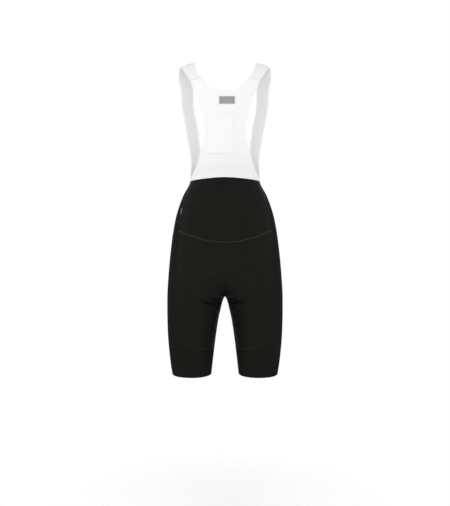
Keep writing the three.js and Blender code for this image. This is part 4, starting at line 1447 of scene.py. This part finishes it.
straps, strap_grids = {}, {}
for side, name in SIDES:
    strap_grids[name] = grid(
        left_strap_points * np.array([side, 1, 1]), -side, STRAP_COLUMNS // 2, place=strap_place,
        share=strap_share * (1 - strap_doubled), doubled=strap_doubled, proud=HEM_RAISE * strap_doubled,
    )
    straps[name], strap_area = cloth_wall(f"strap_{name}_cloth", [strap_grids[name]], BIB_WALL, BIB_MESH)
    raise_ribs(straps[name], STRAP_RIB_HEIGHT, BIB_RIB_NARROWNESS, BIB_RIB_PITCH, BIB_EVENNESS)
print("strap:", round(strap_area, 4), "m2 each")

# %% [markdown]
# ## Patches
# Small pieces lie on the large ones: a pocket and a label on the bib back, and a tab in the side seam. A
# patch could be dropped on the cloth with a Shrinkwrap modifier. Here it is one more grid on the same
# form, lifted a little, so that it follows the cloth below without touching or crossing it.

# %% Grid of a patch
PATCH_LIFT = 0.00045


def patch_grid(across, down, left, right, top, bottom, sag):
    """A patch on the bib back, given by its edges as seen from behind."""
    columns, rows = lines(*across), lines(*down)
    x = mix(left, right, columns)[:, None]
    top_line = top - sag * 4 * columns * (1 - columns)
    z = mix(top_line[:, None], bottom, rows[None, :])
    points = form_point(around_at(x, z), z)
    points[..., 0] *= np.sign(x + SMALLEST)
    return grid(points)


print("patches lie", PATCH_LIFT * 1000, "mm over the cloth below")

# %% [markdown]
# ### Pocket
# The back pocket is a patch of finer mesh, sewn on along its sides and bottom. Its opening at the top is
# hemmed, and it sags a little between its corners. It could be a bag of two layers, but an empty pocket
# lies flat, so one layer over the bib shows the same.

# %% Pocket
POCKET_WALL, POCKET_ACROSS, POCKET_DOWN = 0.0009, (24, 0.012, 0.012), (34, 0.009, 0.009)
POCKET_EDGES = {"left": 0.053, "right": -0.026, "top": -0.164, "bottom": -0.280, "sag": 0.004}

pocket_grid = patch_grid(POCKET_ACROSS, POCKET_DOWN, **POCKET_EDGES)
back_pocket, pocket_area = cloth_wall(
    "back_pocket_cloth", [pocket_grid], POCKET_WALL, POCKET_MESH, lift=PATCH_LIFT + POCKET_WALL
)
print("pocket:", round(pocket_area, 4), "m2")

# %% [markdown]
# ### Label
# The woven label is sewn flat under the back neckline. It is cut with heat, so its edges need no hem, and
# it is thinner than the mesh around it. Its stripes could be raised threads, but they are too fine to
# stand out, so the finish draws them and the piece stays a plain thin patch.

# %% Label
LABEL_WALL, LABEL_ACROSS, LABEL_DOWN = 0.0006, (16, 0.02, 0.02), (10, 0.04, 0.04)
LABEL_EDGES = {"left": 0.017, "right": -0.0285, "top": -0.1175, "bottom": -0.1397, "sag": 0}

label_grid = patch_grid(LABEL_ACROSS, LABEL_DOWN, **LABEL_EDGES)
back_label, label_area = cloth_wall(
    "back_label_cloth", [label_grid], LABEL_WALL, LABEL_CLOTH, lift=PATCH_LIFT + LABEL_WALL
)
print("label:", round(label_area, 5), "m2")

# %% [markdown]
# ### Tab
# The tab is a short ribbon folded in two and caught in the left side seam. Its section is drawn: out along
# the cloth, half a turn at the fold, and back above itself. A plain block would have no fold to see.

# %% Normals of the back
NORMAL_STEP = 0.0005


def normal_at(x, z):
    """Outward normals of the back of the form."""
    across = [form_point(around_at(x + step, z), z) for step in (-NORMAL_STEP, NORMAL_STEP)]
    up = [form_point(around_at(x, z + step), z + step) for step in (-NORMAL_STEP, NORMAL_STEP)]
    return unit(np.cross(up[1] - up[0], across[1] - across[0]))


print("normal at the middle of the waist:", normal_at(0.0, WAIST_BACK).round(2))

# %% Tab
TAB_Z, TAB_HEIGHT, TAB_WIDTH, TAB_FROM_SEAM = -0.445, 0.017, 0.0040, 0.001
TAB_WALL, TAB_FOLD, TAB_STEPS, TAB_ROLL = 0.0003, 0.00035, 6, 0.00005
TAB_DOWN = (12, 0.05, 0.05)

tab_down = mix(TAB_Z + TAB_HEIGHT / 2, TAB_Z - TAB_HEIGHT / 2, lines(*TAB_DOWN))
tab_seam = across_at(side_seam_at(tab_down), tab_down) - TAB_FROM_SEAM
fold = np.linspace(0, math.pi, TAB_STEPS + 1)
flat_steps = TAB_WIDTH * np.arange(TAB_STEPS) / TAB_STEPS
tab_out = np.concatenate([flat_steps, TAB_WIDTH + TAB_FOLD * np.sin(fold), flat_steps[::-1]])
tab_lift = TAB_FOLD * np.concatenate([np.ones(TAB_STEPS), np.cos(fold), -np.ones(TAB_STEPS)])
tab_x = tab_seam[None, :] - tab_out[:, None]
tab_lift = (tab_lift + PATCH_LIFT + TAB_FOLD + TAB_WALL)[:, None, None]
tab_points = form_point(around_at(tab_x, tab_down), tab_down) + normal_at(tab_x, tab_down) * tab_lift
side_tab, tab_area = cloth_wall("side_tab_cloth", [grid(tab_points)], TAB_WALL, TAB_CLOTH, roll=TAB_ROLL)
print("tab:", round(tab_area, 6), "m2, both layers")

# %% [markdown]
# ## The seat pad
# The pad is layers of foam under a brushed face, glued and moulded under heat, and sewn inside the seat
# by its thin edge. It could be swelled by a cloth simulation, but a moulded pad keeps the section that
# its mould gave it, so that section is drawn directly: thin at the edge, full inside, with a channel that
# follows the edge and one along the middle.

# %% Edges of the pad
PAD_FRONT_EDGE = {
    "top": table("x z", (0, -0.604), (0.010, -0.605), (0.019, -0.608), (0.026, -0.613), (0.031, -0.620)),
    "outer": table(
        "x z", (0.031, -0.620), (0.037, -0.645), (0.041, -0.670), (0.043, -0.692), (0.042, -0.708)
    ),
}
PAD_SPAN_STEPS = 12


def along_edge(edge, t):
    """Smooth place on a run of edge points, t from its first to its last."""
    points = smooth_path(np.stack([edge["x"], edge["z"]], -1), PAD_SPAN_STEPS)
    run = np.linspace(0, 1, len(points))
    return np.interp(t, run, points[:, 0]), np.interp(t, run, points[:, 1])


for place, edges in (("behind", PAD_BACK_EDGE), ("in front", PAD_FRONT_EDGE)):
    print("half width of the pad", place, edges["outer"]["x"].max())

# %% Net of a quarter of the pad
PAD_COLUMNS, PAD_ROWS, PAD_LEG_ROWS = 34, 44, 30
PAD_TOP_NEAR, PAD_OUTER_NEAR, PAD_BOTTOM_NEAR = 0.010, 0.015, 0.020


def pad_quarter(edges, front):
    """Places of a quarter of the pad: columns from the middle out, rows from the top down."""
    sign = -1 if front else 1
    top_level = edges["top"]["z"][0]
    upper = 1 - np.sin(lines(PAD_ROWS, PAD_TOP_NEAR)[:-1] * math.pi / 2)
    lower = lines(PAD_LEG_ROWS, 0, PAD_BOTTOM_NEAR) ** THIGH_CROWDING
    middle = np.concatenate([mix(CROTCH, top_level, upper), mix(CROTCH, PAD_BOTTOM, lower)])
    down = run_lengths(form_point(np.full(len(middle), float(sign)), middle)[None], 1)[0]
    down = (down / down[-1])[None, :]
    t = lines(PAD_COLUMNS, 0, PAD_OUTER_NEAR)[:, None]
    top_x, top_z = along_edge(edges["top"], t)
    outer_x, outer_z = along_edge(edges["outer"], down)
    (first_x, corner_x), (first_z, corner_z) = outer_x[0, [0, -1]], outer_z[0, [0, -1]]
    bottom_z = mix(PAD_BOTTOM, corner_z, ease(t))
    top_around, outer_around = around_at(top_x, top_z, front), around_at(outer_x, outer_z, front)
    first, corner = around_at(first_x, first_z, front), around_at(corner_x, corner_z, front)
    around = mix(top_around, mix(sign, corner, t), down) + mix(sign, outer_around, t)
    around = around - mix(mix(sign, first, t), mix(sign, corner, t), down)
    z = mix(top_z, bottom_z, down) + mix(middle[None, :], outer_z, t)
    return around, z - mix(mix(top_level, first_z, t), mix(PAD_BOTTOM, corner_z, t), down)


print("quarter of the pad:", pad_quarter(PAD_BACK_EDGE, False)[1].shape, "points")

# %% Thickness of the pad
PAD_EDGE, PAD_MIDDLE, PAD_SLOPE = 0.002, 0.008, 0.020
PAD_CHANNEL_DEPTH, PAD_CHANNEL_HALF, PAD_CHANNEL_INSET = 0.0022, 0.0028, 0.026
CHANNEL_END, CHANNEL_END_FADE = 0.01, 50


def pad_thickness(points):
    """Thin at the edge and full inside, less one channel inside the edge and one along the middle."""
    inset = inset_from(points, ["end", "top", "bottom"])
    full = mix(PAD_EDGE, PAD_MIDDLE, ease(share_of(inset, 0, PAD_SLOPE)))
    along = ((inset - PAD_CHANNEL_INSET) / PAD_CHANNEL_HALF) ** 2
    ended = share_of(points[..., 2], CROTCH + CHANNEL_END, CROTCH)
    middle = (points[..., 0] / PAD_CHANNEL_HALF) ** 2 + ended * CHANNEL_END_FADE
    return full - PAD_CHANNEL_DEPTH * np.maximum(np.exp(-along), np.exp(-middle))


print("foam:", PAD_EDGE * 1000, "to", PAD_MIDDLE * 1000, "mm thick")

# %% Wall of the pad
PAD_GAP, PAD_SOFTEN = 0.003, 0.016

pad_grids = []
for edges, front in ((PAD_BACK_EDGE, False), (PAD_FRONT_EDGE, True)):
    places = pad_quarter(edges, front)
    for side, _ in SIDES:
        points = form_point(*places, side, soften=PAD_SOFTEN)
        thinner = PAD_MIDDLE - pad_thickness(points)
        pad_grids.append(grid(points, side if front else -side, thinner=thinner))
pad_lift = -SHORTS_WALL - PAD_GAP
seat_pad, pad_area = cloth_wall("seat_pad_foam", pad_grids, PAD_MIDDLE, PAD_FACE, lift=pad_lift)
print("pad", round(pad_area, 4), "m2")

# %% [markdown]
# ## Sewing
# Stretch cloth is sewn with seams that stretch too: a flat zigzag over the join, or two rows side by side.
# Each stitch is a short bead of thread. A Geometry Nodes tree sets them along a line at an even pitch, turns
# each to follow the line and to lie on the cloth, and slants them by turns where the seam is a zigzag.
# The lines are taken from the same grids as the pieces, so a row keeps its distance from its edge.

# %% Turn of each bead
def bead_turns(tree, given, tangent, outwards):
    """Turns each bead along its line and flat to the cloth, then slants every other one the other way."""
    align = "FunctionNodeAlignRotationToVector"
    along = add_node(tree, align, {"Vector": tangent}, axis="X")
    facing = {"Rotation": along.outputs[0], "Vector": outwards}
    flat = add_node(tree, align, facing, axis="Z", pivot_axis="X")
    turn = maths(tree, "MODULO", tree.nodes.new("GeometryNodeInputIndex").outputs[0], 2.0)
    angle = maths(tree, "MULTIPLY", maths(tree, "MULTIPLY_ADD", turn, 2.0, -1.0), given["Slant"])
    slant = add_node(tree, "FunctionNodeAxisAngleToRotation", {"Axis": (0, 0, 1), "Angle": angle})
    both = {"Rotation": flat.outputs[0], "Rotate By": slant.outputs[0]}
    return add_node(tree, "FunctionNodeRotateRotation", both, rotation_space="LOCAL").outputs[0]


print("beads slant by turns to the sides", [2 * turn - 1 for turn in (0, 1)])

# %% Node tree for stitches
BEAD_SEGMENTS, BEAD_RINGS = 6, 4


def make_stitch_tree():
    """Beads of thread at an even pitch along a line, slanted to one side and the other by turns."""
    tree, given, result = new_group(
        "stitch_row", "GeometryNodeTree",
        [("Line", SHAPE, None), ("Pitch", FLOAT, 0.003), ("Length", FLOAT, 0.0024),
         ("Thickness", FLOAT, 0.0005), ("Slant", FLOAT, 0.0), ("Lift", FLOAT, 0.0001),
         ("Material", MATERIAL, None)],
        [("Stitches", SHAPE)],
    )
    curve = add_node(tree, "GeometryNodeMeshToCurve", {"Mesh": given["Line"]})
    even = {"Curve": curve.outputs[0], "Length": given["Pitch"]}
    spots = add_node(tree, "GeometryNodeCurveToPoints", even, mode="LENGTH")
    outwards = read_points(tree, "outwards", "FLOAT_VECTOR")
    rotation = bead_turns(tree, given, spots.outputs["Tangent"], outwards)
    lifted = move_out(tree, spots.outputs["Points"], outwards, given["Lift"])
    ball = {"Segments": BEAD_SEGMENTS, "Rings": BEAD_RINGS, "Radius": 0.5}
    bead = add_node(tree, "GeometryNodeMeshUVSphere", ball)
    smooth = add_node(tree, "GeometryNodeSetShadeSmooth", {0: bead.outputs["Mesh"]})
    size = {"X": given["Length"], "Y": given["Thickness"], "Z": given["Thickness"]}
    placed = add_node(
        tree, "GeometryNodeInstanceOnPoints",
        {"Points": lifted, "Instance": smooth.outputs[0], "Rotation": rotation,
         "Scale": add_node(tree, "ShaderNodeCombineXYZ", size).outputs[0]},
    )
    end_tree(tree, placed.outputs[0], given["Material"], result["Stitches"])
    return tree


STITCH_TREE = make_stitch_tree()
print("stitch tree:", len(STITCH_TREE.nodes), "nodes")

# %% [markdown]
# ### Kinds of stitches and threads
# Three kinds of stitches are enough: a wide flat zigzag, a narrow one, and a plain row. The threads have
# nearly the colour of their cloth, as a maker chooses them, some a little lighter so that the seam reads.
# The near-black thread on the side seams paints their shadow line, and the grey threads on the pocket paint
# the shade of its stitches and of the small folds at its opening.
# A texture of stitches would be cheaper, but beads catch the light and cast the small shadows of a seam.

# %% Kinds of stitches
KINDS = {
    "flat": {"Pitch": 0.00100, "Length": 0.0044, "Thickness": 0.00052, "Slant": 1.05, "Lift": 0.00010},
    "narrow": {"Pitch": 0.00095, "Length": 0.0020, "Thickness": 0.00042, "Slant": 0.95, "Lift": 0.00008},
    "row": {"Pitch": 0.0030, "Length": 0.0025, "Thickness": 0.00042, "Slant": 0.0, "Lift": 0.00006},
}
print("stitches:", {kind: values["Length"] for kind, values in KINDS.items()}, "m long")

# %% Threads
THREAD_ROUGHNESS, THREAD_SHINE = 0.7, 0.08


def thread(name, colour):
    """Thread of one plain colour."""
    material, _, shader = new_material(name, THREAD_ROUGHNESS, Specular_IOR_Level=THREAD_SHINE)
    shader.inputs["Base Color"].default_value = (*colour, 1)
    return material


GREY_THREAD = thread("grey_thread", (0.058, 0.060, 0.054))
BLACK_THREAD = thread("black_thread", (0.034, 0.035, 0.031))
HEM_THREAD = thread("hem_thread", (0.0115, 0.0118, 0.0100))
# Painted shadow: this near-black thread stands for the shadow line along the side seams.
SEAM_SHADOW_THREAD = thread("seam_shadow_thread", (0.0030, 0.0031, 0.0028))
WHITE_THREAD = thread("white_thread", (0.84, 0.84, 0.845))
# Painted shade: on the pocket this pale grey stands for the shade of the stitches on white mesh.
PALE_THREAD = thread("pale_thread", (0.66, 0.66, 0.66))
# Painted shade: at the pocket's opening this grey stands for the shade of small folds.
SILVER_THREAD = thread("silver_thread", (0.50, 0.50, 0.51))
print("threads:", sum(material.name.endswith("_thread") for material in bpy.data.materials))

# %% Lines of sewing
def inset_line(cloth, border, distance, span=(0, 1)):
    """A line at a distance inside a border of a grid, and its normals, over a span of its length."""
    points, normals = cloth["points"], grid_normals(cloth["points"], cloth["side"])
    if border in ("start", "end"):
        points, normals = points.transpose(1, 0, 2), normals.transpose(1, 0, 2)
    if border in ("end", "bottom"):
        points, normals = points[:, ::-1], normals[:, ::-1]
    down = run_lengths(points, 1)
    line, facing = (
        np.stack([[np.interp(distance, down[i], part[i, :, k]) for k in range(3)] for i in range(len(down))])
        for part in (points, normals)
    )
    length = run_lengths(line[:, None], 0)[:, 0]
    inside = (length >= span[0] * length[-1]) & (length <= span[1] * length[-1])
    return line[inside], unit(facing[inside])


def borders(cloth, names, distance, span=(0, 1)):
    """Lines at the same distance inside several borders."""
    return [inset_line(cloth, name, distance, span) for name in names]


def form_line(x, z, side=1):
    """A line on the back of the form through points given as seen from behind."""
    x, z = np.asarray(x, float), np.asarray(z, float)
    facing = normal_at(np.abs(x), z)
    return form_point(around_at(x, z), z) * np.array([side, 1, 1]), facing * np.array([side, 1, 1])


print("line on the yoke seam:", len(inset_line(seat_grids[0], "top", 0)[0]), "points")

# %% Sewing along lines
SEWING = []


def sew(name, kind, material, lines_of_sewing, lift=0.0):
    """One piece with a row of stitches along each line."""
    count, points, normals, edges = 0, [], [], []
    for line, facing in lines_of_sewing:
        points.append(line + facing * lift)
        normals.append(facing)
        edges += [(count + k, count + k + 1) for k in range(len(line) - 1)]
        count += len(line)
    mesh = bpy.data.meshes.new(name)
    mesh.from_pydata(np.concatenate(points).tolist(), edges, [])
    write_attribute(mesh, "outwards", np.concatenate(normals))
    piece = run_tree(add_object(name, mesh), STITCH_TREE, {**KINDS[kind], "Material": material})
    stitches = len(piece.data.polygons) // (BEAD_SEGMENTS * BEAD_RINGS)
    SEWING.append(stitches)
    print(f"{name}: {stitches} stitches")
    return piece


print("a bead has", BEAD_SEGMENTS * BEAD_RINGS, "faces")

# %% [markdown]
# ### Sewing of the seat
# The yoke and the seat are joined by a wide flat zigzag in grey thread. A narrow black zigzag holds the
# pad and closes the lower edge of the seat. The pad's line is laid on the lifted cloth, so that it runs
# on the rim of the pad. Each thread could be a curve with thickness, but a zigzag is easier from beads.

# %% Sewing of the seat
PAD_SEAM_LIFT = 0.3

yoke_seam = [inset_line(cloth, "top", 0) for cloth in seat_grids]
yoke_thread = sew("yoke_seam_thread", "flat", GREY_THREAD, yoke_seam)
pad_lines = []
for side, _ in SIDES:
    line, facing = form_line(outline[:, 0], outline[:, 1], side)
    pad_lines.append((line + facing * relief(line)[:, None] * PAD_SEAM_LIFT, facing))
seat_hem = [inset_line(cloth, "bottom", 0) for cloth in seat_grids]
seat_thread = sew("seat_thread", "narrow", BLACK_THREAD, pad_lines + seat_hem)
print("stitches so far:", sum(SEWING))

# %% [markdown]
# ### Sewing of the sides, legs and waist
# Two rows run beside each side seam and under the waist, one row on each side of the hem band's join, and
# a narrow zigzag joins the left and right pieces down the front. A line in the finish could stand for
# them, but thread that is nearly black on black is seen only where it catches light, so it is real.

# %% Sewing of the sides
ROW_INSET = 0.0016
SIDE_ROWS, WAIST_ROWS = (ROW_INSET, ROW_INSET * 2.2), (ROW_INSET, ROW_INSET * 2.5)

side_rows = [
    inset_line(cloth, "start", distance) for cloth in (*yoke_grids, *seat_grids) for distance in SIDE_ROWS
]
side_thread = sew("side_seam_thread", "row", HEM_THREAD, side_rows)
# A real zigzag on the side seams, made near-black to paint the shadow line along them.
side_join = [inset_line(cloth, "start", 0) for cloth in seat_grids]
side_join_thread = sew("side_join_thread", "narrow", SEAM_SHADOW_THREAD, side_join)
print("rows beside the side seams:", len(side_rows))

# %% Sewing of the legs and the waist
LEG_WAIST_ROWS = (0.005, 0.0075)

leg_threads = {}
for _, name in SIDES:
    band, (upper, cuff) = band_grids[name], leg_grids[name]
    rows = [inset_line(band, "top", ROW_INSET), inset_line(cuff, "bottom", ROW_INSET)]
    rows += [inset_line(upper, "top", distance) for distance in LEG_WAIST_ROWS]
    leg_threads[name] = sew(f"leg_{name}_thread", "row", HEM_THREAD, rows)
front_edge = leg_grids["left"][0]["points"][:1]
front_lengths = run_lengths(front_edge, 1)[0]
seam_end = front_lengths[front_edge[0, :, 2] > CROTCH][-1] / front_lengths[-1]
front_seam = [inset_line(leg_grids["left"][0], "start", 0, (0, seam_end))]
front_thread = sew("front_seam_thread", "narrow", HEM_THREAD, front_seam)
waist_rows = [inset_line(cloth, "top", distance) for cloth in yoke_grids for distance in WAIST_ROWS]
waist_thread = sew("waist_thread", "row", HEM_THREAD, waist_rows)
print("front seam:", (front_lengths[-1] * seam_end).round(3), "m down to the crotch")

# %% [markdown]
# ### Sewing of the bib
# Rows of white thread hold the turned edges of the bib back and the straps, and a slightly greyer zigzag
# joins them at the shoulders. Pocket and label have a row inside their edges; the pocket's rows are pale
# grey, which paints the shade of their stitches.
# The silver thread at the pocket's opening and round the label is darker than the mesh; at the opening that
# darker colour paints the shade of the small folds there.
# A picture from afar could do without most rows, but close up they are what makes an edge look sewn.

# %% Sewing of the bib and the straps
BIB_EDGE_ROW, NECK_ROW, STRAP_TOP_ROW = 0.0045, 0.0050, 0.004

armhole_span = (0, edge_down[len(armhole_points) - 1])
bib_rows = borders(bib_grid, ("start", "end"), BIB_EDGE_ROW, armhole_span)
bib_rows += [inset_line(bib_grid, "bottom", distance) for distance in WAIST_ROWS]
bib_rows += [inset_line(bib_grid, "top", distance) for distance in (ROW_INSET, NECK_ROW)]
bib_thread = sew("bib_thread", "row", WHITE_THREAD, bib_rows, HEM_RAISE)
strap_threads, shoulder_threads = {}, []
for name, strap in strap_grids.items():
    rows = borders(strap, ("start", "end"), BIB_EDGE_ROW)
    rows += [inset_line(strap, "top", STRAP_TOP_ROW), inset_line(strap, "bottom", ROW_INSET)]
    strap_threads[name] = sew(f"strap_{name}_thread", "row", WHITE_THREAD, rows, HEM_RAISE)
    join = [inset_line(strap, "top", 0)]
    shoulder_threads.append(sew(f"shoulder_{name}_thread", "narrow", PALE_THREAD, join))
print("rows on the bib back:", len(bib_rows), "and on each strap:", len(rows))

# %% Sewing of the pocket and the label
POCKET_ROW, OPENING_ROW, LABEL_ROW = 0.002, 0.004, 0.0014

pocket_face = PATCH_LIFT + POCKET_WALL
# The pale grey of these rows is painted shade of their stitches.
pocket_rows = borders(pocket_grid, ("start", "end", "bottom"), POCKET_ROW)
pocket_thread = sew("pocket_thread", "row", PALE_THREAD, pocket_rows, pocket_face)
# The silver of this row paints the shade of the small folds at the opening.
opening = [inset_line(pocket_grid, "top", OPENING_ROW)]
pocket_hem_thread = sew("pocket_hem_thread", "row", SILVER_THREAD, opening, pocket_face)
label_rows = borders(label_grid, ALL_BORDERS, LABEL_ROW)
label_thread = sew("label_thread", "row", SILVER_THREAD, label_rows, PATCH_LIFT + LABEL_WALL)
print("stitches in all:", sum(SEWING))

# %% [markdown]
# ## Light, floor and camera
# The photograph is a product shot: soft light from all round, a little stronger from the sides, on a
# white ground. Nothing here belongs to the garment, and every part of it is easy to change.

# %% [markdown]
# ### Floor
# A wide pale floor under the garment sends light up into it. A floor that runs to the horizon would draw
# a line across the picture, so it fades out a short way from the middle, and the sky shows there.

# %% Floor
FLOOR_LEVEL, FLOOR_RADIUS, FLOOR_CORNERS, FLOOR_FADE = -1.30, 6.0, 96, (0.0, 0.55)
FLOOR_WHITE, FLOOR_GREY, FLOOR_ROUGHNESS, FLOOR_SHINE = (1.0, 1.0, 1.0), (0.35, 0.35, 0.35), 0.9, 0.1


def make_floor():
    """A round floor, white to the camera and grey to the light that it sends back up."""
    turns = np.linspace(0, math.tau, FLOOR_CORNERS, endpoint=False)
    level = np.full(FLOOR_CORNERS, FLOOR_LEVEL)
    rim = np.stack([np.cos(turns) * FLOOR_RADIUS, np.sin(turns) * FLOOR_RADIUS, level], -1)
    mesh = bpy.data.meshes.new("floor")
    mesh.from_pydata(rim.tolist(), [], [list(range(FLOOR_CORNERS))])
    material, tree, shader = new_material("floor_finish", FLOOR_ROUGHNESS, Specular_IOR_Level=FLOOR_SHINE)
    seen_directly = tree.nodes.new("ShaderNodeLightPath").outputs["Is Camera Ray"]
    colour = blend_colours(tree, seen_directly, FLOOR_GREY, FLOOR_WHITE)
    tree.links.new(colour, shader.inputs["Base Color"])
    place = tree.nodes.new("ShaderNodeTexCoord").outputs["Object"]
    flat = add_node(tree, "ShaderNodeVectorMath", {0: place, 1: (1, 1, 0)}, operation="MULTIPLY")
    length = add_node(tree, "ShaderNodeVectorMath", {0: flat.outputs[0]}, operation="LENGTH")
    away = length.outputs["Value"]
    seen = map_range(tree, away, *FLOOR_FADE, 1.0, 0.0, interpolation_type="SMOOTHSTEP")
    tree.links.new(seen, shader.inputs["Alpha"])
    mesh.materials.append(material)
    return add_object("floor", mesh)


floor = make_floor()
print("floor at", FLOOR_LEVEL, "m, gone from", FLOOR_FADE[1], "m out")

# %% [markdown]
# ### Sky
# In a studio the walls and the ceiling throw soft light from everywhere. An image of a room could stand
# for them. One pale colour is enough for cloth, and the camera sees it a little brighter than the light
# it gives, so that the ground is white and the black cloth isn't washed out.

# %% Sky
SKY_LIGHT, SKY_SEEN = 0.70, 1.0


def make_world(light, backdrop):
    """Pale light from everywhere; the camera itself sees a nearly white backdrop."""
    world = bpy.data.worlds.new("soft_sky")
    world.use_nodes = True
    tree = world.node_tree
    path = tree.nodes.new("ShaderNodeLightPath").outputs["Is Camera Ray"]
    strength = maths(tree, "MULTIPLY_ADD", path, backdrop - light, light)
    tree.nodes["Background"].inputs["Color"].default_value = (1, 1, 1, 1)
    tree.links.new(strength, tree.nodes["Background"].inputs["Strength"])
    bpy.context.scene.world = world


make_world(SKY_LIGHT, SKY_SEEN)
print("sky: light", SKY_LIGHT, "and", SKY_SEEN, "as seen")

# %% [markdown]
# ### Lamps
# Large square lamps to the left, to the right and behind the camera model the folds with soft highlights,
# and two weak ones light the other side of the garment. Small lamps would draw hard shadows in the creases.

# %% Lamps
CAMERA_HEIGHT = -0.567


def soft_light(name, place, size, power):
    """A square studio light that faces the middle of the garment."""
    lamp = bpy.data.lights.new(name, "AREA")
    lamp.size, lamp.energy = size, power
    light = add_object(name, lamp)
    light.location = place
    aim = mathutils.Vector((0, 0, CAMERA_HEIGHT)) - light.location
    light.rotation_euler = aim.to_track_quat("-Z", "Y").to_euler()
    return light


LIGHTS = (
    ("left", (2.2, 0.6, 0.4), 1.4, 13), ("right", (-2.2, 0.6, 0.4), 1.4, 11),
    ("behind", (0.2, 3.3, -0.50), 2.4, 34), ("front_left", (1.5, -2.3, 0.2), 1.8, 8),
    ("front_right", (-1.5, -2.3, 0.2), 1.8, 8),
)
for lamp in LIGHTS:
    soft_light(*lamp)
print("lamps:", len(LIGHTS), "with", sum(power for *_, power in LIGHTS), "watts")

# %% [markdown]
# ### Camera
# The camera stands behind the garment, level with its middle, as the photograph was taken. Its distance
# sets how much the near parts are enlarged, and the lens is worked out so that the picture is as high as
# the one in the photograph at the middle of the garment.

# %% Camera
CAMERA_DISTANCE, PICTURE_HEIGHT, SENSOR = 2.2, 1.518, 36.0

lens = bpy.data.cameras.new("camera")
lens.sensor_width = SENSOR
lens.lens = SENSOR * CAMERA_DISTANCE / PICTURE_HEIGHT
camera = add_object("camera", lens)
camera.location = (0, CAMERA_DISTANCE, CAMERA_HEIGHT)
camera.rotation_euler = (math.pi / 2, 0, math.pi)
bpy.context.scene.camera = camera
bpy.context.scene.view_settings.view_transform = "Standard"
print("lens:", round(lens.lens, 2), "mm")

# %% [markdown]
# ## Pieces, bodies and cuts
# Every piece says which solid it stands for, which is hidden, and which body it moves with. Every cloth
# also says the size that it was cut to. Stretch knit is cut about a tenth smaller than
# the figure, so the flat sizes here are smaller than what shows.

# %% Cuts
CUTS = (
    (back_yoke, "back_yoke", "seat_knit", (0.255, 0.180), 0.0445, "stretched"),
    (seat_panel, "seat_panel", "seat_knit", (0.425, 0.310), 0.0930, "stretched"),
    (legs["left"], "leg_left", "side_knit", (0.420, 0.530), 0.1420, "stretched"),
    (legs["right"], "leg_right", "side_knit", (0.420, 0.530), 0.1420, "stretched"),
    (bands["left"], "leg_band_left", "band_knit", (0.350, 0.030), None, "stretched"),
    (bands["right"], "leg_band_right", "band_knit", (0.350, 0.030), None, "stretched"),
    (bib_back, "bib_back", "bib_mesh", (0.225, 0.285), 0.0420, "stretched"),
    (straps["left"], "strap_left", "bib_mesh", (0.075, 0.470), 0.0235, "stretched"),
    (straps["right"], "strap_right", "bib_mesh", (0.075, 0.470), 0.0235, "stretched"),
    (back_pocket, "back_pocket", "pocket_mesh", (0.078, 0.114), None, "stretched"),
    (back_label, "back_label", "label_cloth", (0.045, 0.022), None, "laid"),
    (side_tab, "side_tab", "tab_cloth", (0.0120, 0.0180), None, "folded"),
)
print("cut pieces:", len(CUTS), "of which stretched", sum(held == "stretched" for *_, held in CUTS))

# %% Threads and rests of the pieces
WITH = {
    "back_yoke": [yoke_thread, waist_thread],
    "seat_panel": [seat_thread, side_thread, side_join_thread],
    "leg_left": [leg_threads["left"], front_thread], "leg_right": [leg_threads["right"]],
    "bib_back": [bib_thread],
    "strap_left": [strap_threads["left"], shoulder_threads[0]],
    "strap_right": [strap_threads["right"], shoulder_threads[1]],
    "back_pocket": [pocket_thread, pocket_hem_thread], "back_label": [label_thread],
}
print("rows of thread:", sum(len(threads) for threads in WITH.values()))

# %% Pieces in place of the solids
for piece, node, slot, flat, flat_area, held in CUTS:
    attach(piece, BODY)
    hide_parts(node)
    for part in WITH.get(node, []):
        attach(part, BODY)
    print(f"{piece.name:24} cut {flat[0]:.3f} x {flat[1]:.3f} m, {flat_area or flat[0] * flat[1]:.4f} m2")
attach(seat_pad, BODY)
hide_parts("seat_pad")

# %% The end
bpy.context.view_layer.update()
